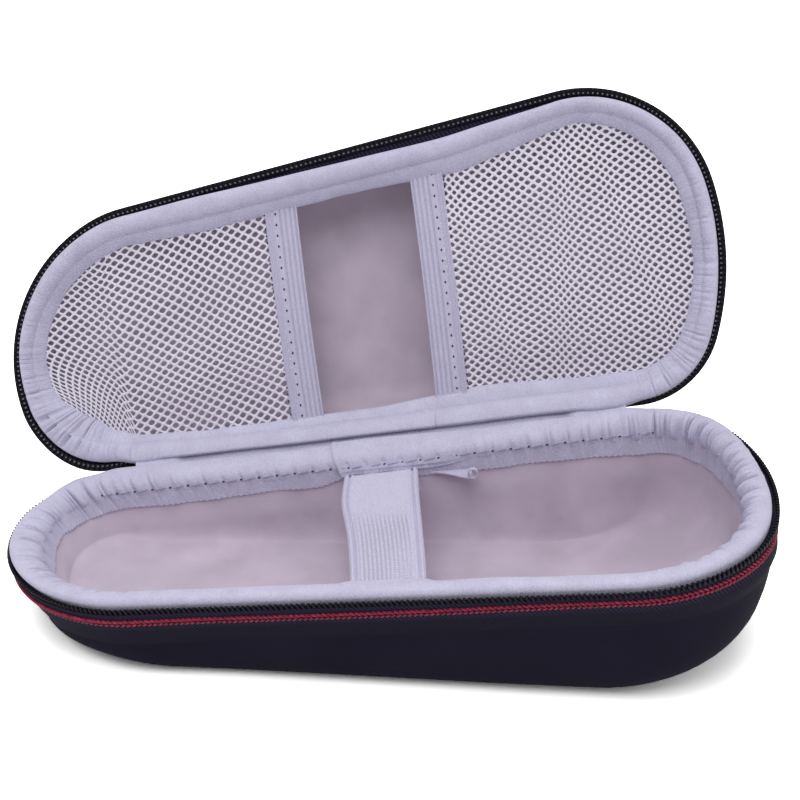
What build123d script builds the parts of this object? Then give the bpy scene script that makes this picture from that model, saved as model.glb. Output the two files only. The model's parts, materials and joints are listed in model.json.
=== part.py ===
from build123d import *
import os
from dataclasses import dataclass
from math import asin, atan, atan2, cos, degrees, hypot, radians, sin, sqrt, tan

# A moulded, zipped hard case for an electric shaver, standing open.
# Millimetres, +Z up. X runs along the case, with the wide and deep end at +X.
# The hinge side is at +Y. The origin is on the table, under the middle of the rim.
# Both halves are made in the frame of their own rim: depth runs from the rim into the shell.

# ---- driving sizes: the outline at the rim ----
case_length = 200.0
case_width = 88.0              # from the hinge side to the front of the wide end
narrow_width = 71.1            # the same at the narrow end
hinge_side = 40.2              # straight hinge side, from the middle line
wide_back_radius = 24.3        # corner between the wide tip and the hinge side
wide_back_from_end = 27.4      # its centre, from the wide tip
wide_front_radius = 36.2       # corner between the wide tip and the front
wide_front_from_end = 37.2
wide_tip_radius = 80.0
narrow_back_radius = 22.3
narrow_back_from_end = 22.7
narrow_front_radius = 33.7
narrow_front_from_end = 40.7
narrow_tip_radius = 45.3

# ---- driving sizes: the two halves ----
rim_height = 30.0              # of the base rim over the table, in the middle
rim_tilt = 7.3                 # the rim climbs towards the wide end, in degrees
lid_depth = 22.5               # of the lid roof under its rim, in the middle
roof_slope = 2.9               # the lid deepens towards the wide end, in degrees
open_angle = 107.6             # the lid, from closed
hinge_stand_off = 2.84         # hinge axis, outside the hinge side at rim level
band_depth = 12.0              # straight part of the wall, next to the rim
bowl_roundness = 2.45          # exponent of the moulded curve under the band
bowl_turns = (0, 20, 40, 58, 74, 90)  # places on that curve, in degrees
base_wall = 5.0
lid_wall = 2.8
lining = 0.9
closing_gap = 0.2              # soft edges stop this far short of the rim plane
spare = 1.0                    # cutting shapes run this far past what they cut

# ---- driving sizes: zip, binding and trim ----
tape = 0.8
tape_height = 10.0
coil_width = 1.5
coil_height = 1.4
cord_radius = 1.05
cord_depth = 3.9
cord_from_hinge = 21.5         # cords end here, clear of the sliders
cord_sink = 0.25               # of the cord's middle under the face of the tape
roll_width = 8.0               # from the outer edge of the rim
roll_depth = 3.2
flange = 0.6
flange_drop = 2.5              # of the cut binding edge down the base wall
flange_reach = 4.3             # of the cut binding edge across the lid
overlap_start = -12.5          # where the binding overlaps itself at the back
overlap_end = 28.0
overlap = 0.5
tail_start = 13.5
tail_depth = 4.5
tail_length = 13.0
tail_height = 2.6
tail_thickness = 0.7
tail_slant = 18.0
tail_curl = 1.6
tail_clear = 0.2
hinge_left = -58.0             # hinge cloth, along the hinge side
hinge_right = 54.0
cloth = 0.5
hinge_clear = 0.34             # hinge cloth to the turning lid
lining_wrap = 176.0            # where the hinge lining ends on the base, in degrees
web_depth = 3.75               # of the hinge cloth's seam on the base
stop_length = 2.6

# ---- driving sizes: lid pockets and strap ----
left_elastic = -20.0           # middle of the left pocket's elastic edge
right_elastic = 21.0
elastic_width = 9.0
elastic = 1.4
net = 0.8
strap_middle = 2.0
strap_width = 20.0
strap = 1.5
strap_tab = 5.0

# ---- driving sizes: sliders and pulls ----
slider_length = 9.5
slider_height = 5.6
slider_plate = 1.2
slider_corner = 1.6
slider_clear = 0.35
slider_centre = -2.3           # from the rim plane
slider_from_hinge = 1.0
knuckle_width = 3.0
knuckle_radius = 1.0
knuckle_clear = 0.3            # to the slider plate and its ears
ear = 1.1
pin_radius = 0.5
pin_clear = 0.08
pull_length = 15.5             # from the pin to the tip
pull_width = 5.4
pull_thickness = 1.1
pull_hole = 1.3
pull_neck = 3.0                # from the pin to the shoulder of the pull


@dataclass
class Inset:
    """How far an outline stands inside the rim outline, at each side."""
    back: float
    front_narrow: float
    front_wide: float
    tip_narrow: float
    tip_wide: float

    def mix(self, other, share):
        pairs = zip(vars(self).values(), vars(other).values())
        return Inset(*(a + (b - a) * share for a, b in pairs))

    def grow(self, extra):
        return Inset(*(value + extra for value in vars(self).values()))


@dataclass
class Half:
    """One half of the case, seen from its rim."""
    rim: Plane
    into: float
    floor_depth: float
    floor_slope: float
    floor_inset: Inset


hinge_bearing = 90.0           # the hinge side faces +Y
full_turn = 360.0
no_inset = Inset(0.0, 0.0, 0.0, 0.0, 0.0)
band_inset = Inset(back=1.5, front_narrow=4.0, front_wide=4.4, tip_narrow=7.0, tip_wide=1.2)
base_floor_inset = Inset(back=4.5, front_narrow=10.0, front_wide=20.0, tip_narrow=25.0, tip_wide=43.0)
lid_roof_inset = Inset(back=8.0, front_narrow=12.0, front_wide=15.0, tip_narrow=22.0, tip_wide=26.0)

tilt = radians(rim_tilt)
base_rim = Plane(
    origin=(0, 0, rim_height),
    x_dir=(cos(tilt), 0, sin(tilt)),
    z_dir=(-sin(tilt), 0, cos(tilt)),
)
swing = radians(open_angle)
hinge_y = hinge_side + hinge_stand_off
lid_rim = Plane(
    origin=base_rim.from_local_coords((0, hinge_y - hinge_y * cos(swing), hinge_y * sin(swing))),
    x_dir=base_rim.x_dir,
    z_dir=base_rim.y_dir * sin(swing) + base_rim.z_dir * cos(swing),
)
base = Half(base_rim, -1.0, rim_height / cos(tilt), tan(tilt), base_floor_inset)
lid = Half(lid_rim, 1.0, lid_depth, tan(radians(roof_slope)), lid_roof_inset)


def bearing(start, end):
    return degrees(atan2(end[1] - start[1], end[0] - start[0]))


def tip_centre(lower, lower_radius, upper, upper_radius, radius, side):
    """Centre of the tip arc, which takes in both corner arcs."""
    a = radius - lower_radius
    b = radius - upper_radius
    dx = upper[0] - lower[0]
    dy = upper[1] - lower[1]
    gap = hypot(dx, dy)
    along = (a * a - b * b + gap * gap) / (2 * gap)
    away = sqrt(a * a - along * along) * side
    return (
        lower[0] + (dx * along - dy * away) / gap,
        lower[1] + (dy * along + dx * away) / gap,
    )


def corner_arcs(inset):
    """Centre and radius of the back and front corner, at the wide end and the narrow end."""
    wide_front_y = hinge_side - case_width + wide_front_radius
    narrow_front_y = hinge_side - narrow_width + narrow_front_radius
    wide_end = case_length / 2 - inset.tip_wide
    narrow_end = inset.tip_narrow - case_length / 2
    wide_back_x = wide_end - wide_back_from_end + inset.back
    wide_front_x = wide_end - wide_front_from_end + inset.front_wide
    narrow_back_x = narrow_end + narrow_back_from_end - inset.back
    narrow_front_x = narrow_end + narrow_front_from_end - inset.front_narrow
    wide_arcs = (
        ((wide_back_x, hinge_side - wide_back_radius), wide_back_radius - inset.back),
        ((wide_front_x, wide_front_y), wide_front_radius - inset.front_wide),
    )
    narrow_arcs = (
        ((narrow_back_x, hinge_side - narrow_back_radius), narrow_back_radius - inset.back),
        ((narrow_front_x, narrow_front_y), narrow_front_radius - inset.front_narrow),
    )
    return wide_arcs, narrow_arcs


def outline(plane, inset):
    """Closed face: four corner arcs, two tip arcs and two straight sides."""
    wide_arcs, narrow_arcs = corner_arcs(inset)
    (wide_back, wide_back_r), (wide_front, wide_front_r) = wide_arcs
    (narrow_back, narrow_back_r), (narrow_front, narrow_front_r) = narrow_arcs
    wide_r = wide_tip_radius - (inset.back + inset.front_wide) / 2
    narrow_r = narrow_tip_radius - (inset.back + inset.front_narrow) / 2
    wide_tip = tip_centre(wide_front, wide_front_r, wide_back, wide_back_r, wide_r, 1)
    narrow_tip = tip_centre(narrow_front, narrow_front_r, narrow_back, narrow_back_r, narrow_r, -1)

    run = hypot(wide_front[0] - narrow_front[0], wide_front[1] - narrow_front[1])
    lean = degrees(asin((wide_front_r - narrow_front_r) / run))
    front = bearing(narrow_front, wide_front) - hinge_bearing - lean
    wide_low = bearing(wide_tip, wide_front)
    wide_high = bearing(wide_tip, wide_back)
    narrow_high = bearing(narrow_tip, narrow_back) % full_turn
    narrow_low = bearing(narrow_tip, narrow_front) % full_turn
    with BuildSketch(plane) as shape:
        with BuildLine():
            start = CenterArc(wide_front, wide_front_r, front, wide_low - front)
            CenterArc(wide_tip, wide_r, wide_low, wide_high - wide_low)
            corner = CenterArc(wide_back, wide_back_r, wide_high, hinge_bearing - wide_high)
            far_corner = CenterArc(narrow_back, narrow_back_r, hinge_bearing,
                                   narrow_high - hinge_bearing)
            Line(corner @ 1, far_corner @ 0)
            CenterArc(narrow_tip, narrow_r, narrow_high, narrow_low - narrow_high)
            last = CenterArc(narrow_front, narrow_front_r, narrow_low,
                             front + full_turn - narrow_low)
            Line(last @ 1, start @ 0)
        make_face()
    return shape.sketch.face()


def depth_plane(half, depth, slope=0.0):
    """Plane at a depth inside one half, deepening along the case by a slope."""
    rim = half.rim
    inward = rim.z_dir * half.into
    lean = atan(slope)
    x_dir = rim.x_dir * cos(lean) + inward * sin(lean)
    origin = rim.origin + inward * depth
    return Plane(origin=origin, x_dir=x_dir, z_dir=x_dir.cross(rim.y_dir))


def band_section(half, depth, extra):
    share = depth / band_depth
    return outline(depth_plane(half, depth), no_inset.mix(band_inset, share).grow(extra))


def fill_band(half, start, end, extra, mode=Mode.ADD):
    """Everything within the wall line, between two depths next to the rim."""
    sections = [band_section(half, depth, extra) for depth in (start, end)]
    loft(sections=sections, ruled=True, mode=mode)


def fill_bowl(half, extra, mode=Mode.ADD):
    """Everything within the wall line, from the band down to the moulded floor.

    The shell starts one tape thickness inside the rim outline, and stands on the table.
    """
    sections = []
    for turn in bowl_turns:
        drop = sin(radians(turn)) ** (2 / bowl_roundness)
        closing = 1 - cos(radians(turn)) ** (2 / bowl_roundness)
        depth = band_depth + (half.floor_depth - (extra - tape) - band_depth) * drop
        inset = band_inset.mix(half.floor_inset, closing).grow(extra)
        sections.append(outline(depth_plane(half, depth, half.floor_slope * drop), inset))
    loft(sections=sections, mode=mode)


def band_ring(half, start, end, outer, inner):
    """Ring in the line of the wall, next to the rim."""
    fill_band(half, start, end, outer)
    fill_band(half, start, end, inner, mode=Mode.SUBTRACT)


def rim_box(half, left, right, near, far, top, bottom, mode):
    """Block in the frame of a rim: along the case, across it and from depth to depth."""
    plane = depth_plane(half, top)
    amount = bottom - top
    if plane.z_dir.dot(half.rim.z_dir) * half.into < 0:
        amount = -amount
    middle = ((left + right) / 2, (near + far) / 2)
    with BuildSketch(plane, mode=Mode.PRIVATE) as footprint:
        with Locations(middle):
            Rectangle(right - left, far - near)
    extrude(footprint.sketch, amount=amount, mode=mode)


def keep_span(half, left, right, near=-case_length, far=case_length):
    """Keep only the part between two places along the case."""
    rim_box(half, left, right, near, far, -band_depth, 2 * band_depth, Mode.INTERSECT)


def cut_back(half, left, right):
    """Take a ring away along the hinge side."""
    rim_box(half, left, right, 0, case_length, -band_depth, 2 * band_depth, Mode.SUBTRACT)


def finish(shape, label):
    shape.label = label
    export_step(shape, f"parts/{label}.step")


os.makedirs("parts", exist_ok=True)
halves = {"base": base, "lid": lid}
walls = {"base": base_wall, "lid": lid_wall}
coil_end = closing_gap + coil_height

# ---- pieces that both halves have ----
for name, half in halves.items():
    wall_end = tape + walls[name]
    with BuildPart() as shell:
        fill_band(half, roll_depth, band_depth, tape)
        fill_bowl(half, tape)
        fill_band(half, roll_depth - spare, band_depth, wall_end, mode=Mode.SUBTRACT)
        fill_bowl(half, wall_end, mode=Mode.SUBTRACT)
    finish(shell.part, f"{name}_shell")

    with BuildPart() as inside:
        fill_band(half, roll_depth, band_depth, wall_end)
        fill_bowl(half, wall_end)
        fill_band(half, roll_depth - spare, band_depth, wall_end + lining, mode=Mode.SUBTRACT)
        fill_bowl(half, wall_end + lining, mode=Mode.SUBTRACT)
    finish(inside.part, f"{name}_lining")

    with BuildPart() as coil_seat:
        band_ring(half, closing_gap - spare, coil_end, -spare, coil_width)
    with BuildPart() as roll:
        band_ring(half, closing_gap, roll_depth, tape, roll_width)
        add(coil_seat.part, mode=Mode.SUBTRACT)
    finish(roll.part, f"{name}_rim_roll")

    with BuildPart() as zip_tape:
        band_ring(half, coil_end, tape_height, 0, tape)
        cut_back(half, hinge_left, hinge_right)
    finish(zip_tape.part, f"{name}_zip_tape")

    with BuildPart() as coil:
        band_ring(half, closing_gap, coil_end, 0, coil_width)
        cut_back(half, hinge_left - stop_length, hinge_right + stop_length)
    finish(coil.part, f"{name}_zip_coil")

    with BuildPart() as stops:
        band_ring(half, closing_gap, coil_end, 0, coil_width)
        keep_span(half, hinge_left - stop_length, hinge_right + stop_length, near=0)
        cut_back(half, hinge_left, hinge_right)
    finish(stops.part, f"{name}_zip_stops")

    with BuildPart() as cord:
        path = band_section(half, cord_depth, cord_sink).outer_wire()
        with BuildSketch(Plane(origin=path @ 0, z_dir=path % 0)):
            Circle(cord_radius)
        sweep(path=path)
        fill_band(half, cord_depth - 2 * cord_radius, cord_depth + 2 * cord_radius, 0,
                  mode=Mode.SUBTRACT)
        cut_back(half, hinge_left - cord_from_hinge, hinge_right + cord_from_hinge)
    finish(cord.part, f"{name}_red_cord")

# ---- hinge cloth: on both walls, and round the hinge axis ----
across = Plane(
    origin=base_rim.from_local_coords((hinge_left, hinge_y, 0)),
    x_dir=base_rim.y_dir,
    z_dir=base_rim.x_dir,
)
hinge_run = hinge_right - hinge_left
cloth_radius = hinge_stand_off - hinge_clear
cloth_wrap = 180 + degrees(asin(2 * cloth / (cloth_radius - cloth)))
open_side = 180 - open_angle


def cloth_arc(outer, end):
    """Bend of cloth about the hinge axis, from the open lid round to the base."""
    with BuildSketch(across, mode=Mode.PRIVATE) as bend:
        with BuildLine():
            rim_side = CenterArc((0, 0), outer, open_side, end - open_side)
            axis_side = CenterArc((0, 0), outer - cloth, open_side, end - open_side)
            Line(rim_side @ 0, axis_side @ 0)
            Line(rim_side @ 1, axis_side @ 1)
        make_face()
    extrude(bend.sketch, amount=hinge_run)


with BuildPart() as hinge_cloth:
    band_ring(base, closing_gap, tape_height, 0, tape)
    keep_span(base, hinge_left, hinge_right, near=0)
    cloth_arc(cloth_radius - cloth, cloth_wrap)
    web_start = -(hinge_stand_off + tape / 2)
    web_end = 2 * cloth - cloth_radius
    with BuildSketch(across, mode=Mode.PRIVATE) as web:
        with Locations((web_start, -web_depth)):
            Rectangle(web_end - web_start, web_depth - cloth, align=(Align.MIN, Align.MIN))
    extrude(web.sketch, amount=hinge_run)
finish(hinge_cloth.part, "hinge_cloth")

with BuildPart() as hinge_lining:
    cloth_arc(cloth_radius, lining_wrap)
finish(hinge_lining.part, "hinge_lining")

with BuildPart() as lid_hinge_cloth:
    band_ring(lid, closing_gap, tape_height, 0, tape)
    keep_span(lid, hinge_left, hinge_right, near=0)
finish(lid_hinge_cloth.part, "lid_hinge_cloth")

# ---- binding: its cut edge, its overlap at the back and the loose tail ----
base_face = tape + base_wall + lining
lid_face = tape + lid_wall + lining

with BuildPart() as base_flange:
    band_ring(base, roll_depth, roll_depth + flange_drop, base_face, base_face + flange)
finish(base_flange.part, "base_binding_flange")

with BuildPart() as lid_flange:
    band_ring(lid, roll_depth, roll_depth + flange, lid_face, lid_face + flange_reach)
finish(lid_flange.part, "lid_binding_flange")

with BuildPart() as binding_overlap:
    band_ring(base, closing_gap, roll_depth, roll_width, roll_width + overlap)
    keep_span(base, overlap_start, overlap_end, near=0)
finish(binding_overlap.part, "binding_overlap")

tail_y = hinge_side - roll_width - overlap - tail_clear - band_inset.back * tail_depth / band_depth
tail_plane = Plane(
    origin=base_rim.from_local_coords((tail_start, tail_y, -tail_depth)),
    x_dir=base_rim.x_dir,
    z_dir=-base_rim.y_dir,
).rotated((0, 0, -tail_slant))
with BuildPart() as binding_tail:
    with BuildSketch(tail_plane):
        Rectangle(tail_length, tail_height, align=(Align.MIN, Align.CENTER))
    extrude(amount=tail_thickness)
    curl_plane = Plane(
        origin=tail_plane.from_local_coords((tail_length, -tail_height / 2, tail_curl)),
        x_dir=tail_plane.x_dir,
        z_dir=tail_plane.y_dir,
    )
    with BuildSketch(curl_plane):
        Circle(tail_curl)
        Circle(tail_curl - tail_thickness, mode=Mode.SUBTRACT)
    extrude(amount=tail_height)
finish(binding_tail.part, "binding_tail")

# ---- strap across the base ----
strap_depth = roll_depth + flange / 2
strap_left = strap_middle - strap_width / 2
strap_right = strap_middle + strap_width / 2
with BuildPart() as elastic_strap:
    fill_band(base, strap_depth, strap_depth + strap, base_face + flange)
    keep_span(base, strap_left, strap_right)
finish(elastic_strap.part, "elastic_strap")

with BuildPart() as strap_tabs:
    band_ring(base, strap_depth + strap, strap_depth + strap + strap_tab,
              base_face + flange, base_face + flange + strap)
    keep_span(base, strap_left, strap_right)
finish(strap_tabs.part, "strap_tabs")

# ---- net pockets in the lid ----
pocket_depth = roll_depth + flange
pockets = {
    "left": (-case_length, left_elastic - elastic_width / 2, left_elastic),
    "right": (right_elastic + elastic_width / 2, case_length, right_elastic),
}
for side, (start, end, edge) in pockets.items():
    with BuildPart() as pocket_net:
        fill_band(lid, pocket_depth, pocket_depth + net, lid_face)
        keep_span(lid, start, end)
    finish(pocket_net.part, f"{side}_pocket_net")

    with BuildPart() as pocket_edge:
        fill_band(lid, pocket_depth, pocket_depth + elastic, lid_face)
        keep_span(lid, edge - elastic_width / 2, edge + elastic_width / 2)
    finish(pocket_edge.part, f"{side}_pocket_elastic")

# ---- sliders, parked beside the hinge cloth, with their pins and pulls ----
pin_height = slider_plate + knuckle_clear + knuckle_radius
ear_middle = knuckle_width / 2 + knuckle_clear + ear / 2
pin_length = 2 * ear_middle + ear
park = slider_from_hinge + slider_length / 2
sliders = {"left": hinge_left - park, "right": hinge_right + park}
for side, place in sliders.items():
    plate = Plane(
        origin=base_rim.from_local_coords((place, hinge_side + slider_clear, slider_centre)),
        x_dir=-base_rim.x_dir,
        z_dir=base_rim.y_dir,
    )
    pin_plane = Plane(
        origin=plate.from_local_coords((-pin_length / 2, 0, pin_height)),
        x_dir=plate.y_dir,
        z_dir=plate.x_dir,
    )
    with BuildPart() as slider:
        with BuildSketch(plate) as plate_shape:
            Rectangle(slider_length, slider_height)
            fillet(plate_shape.vertices(), slider_corner)
        extrude(amount=slider_plate)
        with BuildSketch(plate.offset(slider_plate)):
            with Locations((-ear_middle, 0), (ear_middle, 0)):
                Rectangle(ear, 2 * knuckle_radius)
        extrude(amount=pin_height + knuckle_radius - slider_plate)
        with BuildSketch(pin_plane):
            Circle(pin_radius)
        extrude(amount=pin_length, mode=Mode.SUBTRACT)
    finish(slider.part, f"slider_{side}")

    with BuildPart() as pin:
        with BuildSketch(pin_plane):
            Circle(pin_radius)
        extrude(amount=pin_length)
    finish(pin.part, f"slider_{side}_pin")

    neck = knuckle_width / 2
    wide = pull_width / 2
    tip = wide - pull_length
    with BuildPart() as pull:
        tab_plane = Plane(
            origin=plate.from_local_coords((0, 0, pin_height - pull_thickness / 2)),
            x_dir=plate.x_dir,
            z_dir=plate.z_dir,
        )
        with BuildSketch(tab_plane) as tab:
            with BuildLine():
                right_neck = Line((neck, 0), (neck, -pull_neck))
                shoulder = Line(right_neck @ 1, (wide, tip))
                end = RadiusArc(shoulder @ 1, (-wide, tip), wide)
                left_neck = Line(end @ 1, (-neck, -pull_neck))
                left_side = Line(left_neck @ 1, (-neck, 0))
                Line(left_side @ 1, (neck, 0))
            make_face()
            with Locations((0, tip)):
                Circle(pull_hole, mode=Mode.SUBTRACT)
        extrude(amount=pull_thickness)
        knuckle_plane = pin_plane.offset(pin_length / 2 - knuckle_width / 2)
        with BuildSketch(knuckle_plane):
            Circle(knuckle_radius)
        extrude(amount=knuckle_width)
        with BuildSketch(knuckle_plane):
            Circle(pin_radius + pin_clear)
        extrude(amount=knuckle_width, mode=Mode.SUBTRACT)
    finish(pull.part, f"pull_{side}")
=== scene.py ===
import json
from functools import partial
from math import asin, atan, atan2, cos, hypot, pi, radians, sin, sqrt, tan

import bmesh
import bpy
import numpy as np
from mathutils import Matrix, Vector


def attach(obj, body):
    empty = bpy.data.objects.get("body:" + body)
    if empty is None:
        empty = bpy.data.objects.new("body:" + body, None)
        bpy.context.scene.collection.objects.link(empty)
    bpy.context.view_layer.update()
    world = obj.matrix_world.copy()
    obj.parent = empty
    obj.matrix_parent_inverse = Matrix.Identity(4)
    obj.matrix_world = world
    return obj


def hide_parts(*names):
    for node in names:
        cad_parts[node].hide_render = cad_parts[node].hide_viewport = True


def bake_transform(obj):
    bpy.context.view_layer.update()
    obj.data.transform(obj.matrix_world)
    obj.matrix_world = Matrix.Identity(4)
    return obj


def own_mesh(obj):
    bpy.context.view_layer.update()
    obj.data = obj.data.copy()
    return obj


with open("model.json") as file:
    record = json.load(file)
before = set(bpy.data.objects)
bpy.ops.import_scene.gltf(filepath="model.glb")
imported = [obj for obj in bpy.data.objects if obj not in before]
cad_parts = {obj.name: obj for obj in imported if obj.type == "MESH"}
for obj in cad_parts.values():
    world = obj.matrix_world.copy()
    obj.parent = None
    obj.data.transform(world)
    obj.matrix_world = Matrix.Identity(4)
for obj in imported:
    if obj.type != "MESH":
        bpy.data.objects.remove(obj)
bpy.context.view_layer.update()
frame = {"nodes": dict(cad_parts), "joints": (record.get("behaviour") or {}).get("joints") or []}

# Looks of a zipped hard case, standing open. Lengths are millimetres until a mesh is made.
# Both halves use the coordinates of their own rim: s runs round the rim outline, extra runs
# in from the outline, and depth runs from the rim plane into the shell.

MM = 0.001

# ---- sizes that repeat the frame's driving sizes ----
CASE_LENGTH = 200.0
CASE_WIDTH = 88.0
NARROW_WIDTH = 71.1
HINGE_SIDE = 40.2
WIDE_BACK = (24.3, 27.4)          # radius, and its centre from the tip
WIDE_FRONT = (36.2, 37.2)
NARROW_BACK = (22.3, 22.7)
NARROW_FRONT = (33.7, 40.7)
WIDE_TIP = 80.0
NARROW_TIP = 45.3
BAND_DEPTH = 12.0
BOWL_ROUNDNESS = 2.45
LINING = 0.9
TAPE = 0.8
BAND_INSET = np.array((1.5, 4.0, 4.4, 7.0, 1.2))   # back, front narrow and wide, tip narrow and wide
NO_INSET = np.zeros(5)

# ---- places along the case ----
HINGE_LEFT = -58.0
HINGE_RIGHT = 54.0
TOUCH_LEFT = -67.0                # the two rolls touch between these places
TOUCH_RIGHT = 66.0
TOUCH_FADE = 9.0
PATCH = (-12.5, 28.0)
LID_SEAM = 16.3                   # joint of the lid binding
ELASTICS = {"left": -20.0, "right": 21.0}
ELASTIC_WIDTH = 9.0
STRAP_BACK = (-10.6, 9.6)         # left and right edge of the strap at its back and front end
STRAP_FRONT = (-7.7, 11.2)

# ================================================================ the rim line

PART_STEPS = (100, 60, 80, 300, 70, 70, 110, 250)


def running(line):
    """Length along a line at each of its points."""
    return np.concatenate(([0.0], np.cumsum(np.linalg.norm(np.diff(line, axis=0), axis=1))))


def bearing(start, end):
    return atan2(end[1] - start[1], end[0] - start[0])


def tip_centre(lower, lower_radius, upper, upper_radius, radius, side):
    a = radius - lower_radius
    b = radius - upper_radius
    dx = upper[0] - lower[0]
    dy = upper[1] - lower[1]
    gap = hypot(dx, dy)
    along = (a * a - b * b + gap * gap) / (2 * gap)
    away = sqrt(a * a - along * along) * side
    return (
        lower[0] + (dx * along - dy * away) / gap,
        lower[1] + (dy * along + dx * away) / gap,
    )


def arc(centre, radius, start, end, steps):
    turn = np.linspace(start, end, steps, endpoint=False)
    normals = np.column_stack((np.cos(turn), np.sin(turn)))
    return np.array(centre) + normals * radius, normals


def straight(start, end, facing, steps):
    share = np.linspace(0, 1, steps, endpoint=False)[:, None]
    normals = np.tile((cos(facing), sin(facing)), (steps, 1))
    return np.array(start) + (np.array(end) - np.array(start)) * share, normals


def corner(side, tip, size, inset, y):
    """Centre and radius of one rounded corner. side is 1 at the wide end and -1 at the narrow end."""
    radius, from_tip = size
    return (side * (CASE_LENGTH / 2 - tip - from_tip + inset), y), radius - inset


def on_circle(centre, radius, turn):
    return centre[0] + radius * cos(turn), centre[1] + radius * sin(turn)


def outline(inset):
    """Points and outward normals of the outline, at the same places for every inset."""
    back, front_narrow, front_wide, tip_narrow, tip_wide = inset
    front_y = HINGE_SIDE - CASE_WIDTH + WIDE_FRONT[0]
    narrow_y = HINGE_SIDE - NARROW_WIDTH + NARROW_FRONT[0]
    wide_back, wide_back_r = corner(1, tip_wide, WIDE_BACK, back, HINGE_SIDE - WIDE_BACK[0])
    wide_front, wide_front_r = corner(1, tip_wide, WIDE_FRONT, front_wide, front_y)
    narrow_back, narrow_back_r = corner(-1, tip_narrow, NARROW_BACK, back, HINGE_SIDE - NARROW_BACK[0])
    narrow_front, narrow_front_r = corner(-1, tip_narrow, NARROW_FRONT, front_narrow, narrow_y)
    wide_r = WIDE_TIP - (back + front_wide) / 2
    narrow_r = NARROW_TIP - (back + front_narrow) / 2
    wide_tip = tip_centre(wide_front, wide_front_r, wide_back, wide_back_r, wide_r, 1)
    narrow_tip = tip_centre(narrow_front, narrow_front_r, narrow_back, narrow_back_r, narrow_r, -1)
    run = hypot(wide_front[0] - narrow_front[0], wide_front[1] - narrow_front[1])
    lean = asin((wide_front_r - narrow_front_r) / run)
    front = bearing(narrow_front, wide_front) - pi / 2 - lean
    wide_low = bearing(wide_tip, wide_front)
    wide_high = bearing(wide_tip, wide_back)
    narrow_high = bearing(narrow_tip, narrow_back) % (2 * pi)
    narrow_low = bearing(narrow_tip, narrow_front) % (2 * pi)
    back_y = HINGE_SIDE - back
    front_start = on_circle(narrow_front, narrow_front_r, front)
    front_end = on_circle(wide_front, wide_front_r, front)
    pieces = (
        (arc, wide_front, wide_front_r, front, wide_low),
        (arc, wide_tip, wide_r, wide_low, wide_high),
        (arc, wide_back, wide_back_r, wide_high, pi / 2),
        (straight, (wide_back[0], back_y), (narrow_back[0], back_y), pi / 2),
        (arc, narrow_back, narrow_back_r, pi / 2, narrow_high),
        (arc, narrow_tip, narrow_r, narrow_high, narrow_low),
        (arc, narrow_front, narrow_front_r, narrow_low, front + 2 * pi),
        (straight, front_start, front_end, front),
    )
    parts = [make(*values, steps) for (make, *values), steps in zip(pieces, PART_STEPS)]
    return np.vstack([part[0] for part in parts]), np.vstack([part[1] for part in parts])


RIM_POINTS, RIM_NORMALS = outline(NO_INSET)
RIM_SLIDE = outline(BAND_INSET)[0] - RIM_POINTS
RIM_S = running(np.vstack((RIM_POINTS, RIM_POINTS[:1])))
LOOP = RIM_S[-1]
RIM_TABLE = [
    np.append(column, column[0])
    for column in (*RIM_POINTS.T, *RIM_SLIDE.T, *RIM_NORMALS.T)
]


def rim_values(s):
    along = np.mod(s, LOOP)
    return [np.interp(along, RIM_S, column) for column in RIM_TABLE]


def s_at(x, y):
    """Place round the rim that is nearest to a point."""
    return RIM_S[np.hypot(RIM_POINTS[:, 0] - x, RIM_POINTS[:, 1] - y).argmin()]


def from_rim(x, y):
    """Place round the rim and distance inside the outline, of each point."""
    near = np.empty(len(x), int)
    for index, (px, py) in enumerate(zip(x, y)):
        near[index] = ((RIM_POINTS[:, 0] - px) ** 2 + (RIM_POINTS[:, 1] - py) ** 2).argmin()
    offset = np.column_stack((x, y)) - RIM_POINTS[near]
    return RIM_S[near], -(offset * RIM_NORMALS[near]).sum(axis=1)


def step_up(value, start, end):
    share = np.clip((value - start) / (end - start), 0, 1)
    return share * share * (3 - 2 * share)


TABLE_STEP = 0.5


def between(value, start, full, last, end):
    """1 from full to last, and smoothly down to 0 at start and end."""
    return step_up(value, start, full) * step_up(-value, -end, -last)


def around(blur=14.0, **values):
    """Smooth curve of s through values that belong to named places round the rim."""
    places = sorted((s_at(*PLACES[name]), value) for name, value in values.items())
    s = np.array([place for place, _ in places])
    value = np.array([value for _, value in places])
    fine = np.arange(0, LOOP, TABLE_STEP)
    line = np.interp(fine, s, value, period=LOOP)
    width = int(blur / TABLE_STEP)
    kernel = np.hanning(width + 2)[1:-1]
    kernel /= kernel.sum()
    padded = np.concatenate((line[-width:], line, line[:width]))
    smooth = np.convolve(padded, kernel, mode="same")[width:-width]
    return lambda place: np.interp(np.mod(place, LOOP), fine, smooth, period=LOOP)


PLACES = dict(
    left_tip=(-100, 6),
    left_low=(-99, 19),
    left_corner=(-94, 30),
    left_turn=(-84, 38),
    net_apex=(-70.5, 40.2),
    slider_left=(-64, 40.2),
    left_back=(-92, 33),
    hinge_far_left=(-72, 40.2),
    hinge_left=(-50, 40.2),
    hinge_middle=(0, 40.2),
    hinge_right=(30, 40.2),
    hinge_far_right=(60, 40.2),
    right_end=(71, 40.2),
    right_bend=(82, 38.5),
    right_back=(91, 33),
    right_tip=(100, 5),
    right_low=(98.5, -12),
    right_front=(90, -30),
    front_wide=(60, -47.6),
    front_right=(27, -43),
    front_middle=(0, -39),
    front_left=(-45, -33),
    left_front=(-88, -18),
)


def hinge_share(s, further=0.0):
    """1 where the two rolls touch along the hinge side, and 0 elsewhere on the rim."""
    x, y = rim_values(s)[:2]
    left = TOUCH_LEFT - further
    return between(x, left - TOUCH_FADE, left, TOUCH_RIGHT, TOUCH_RIGHT + TOUCH_FADE) * (y > 0)


# ================================================================ the two halves

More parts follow.
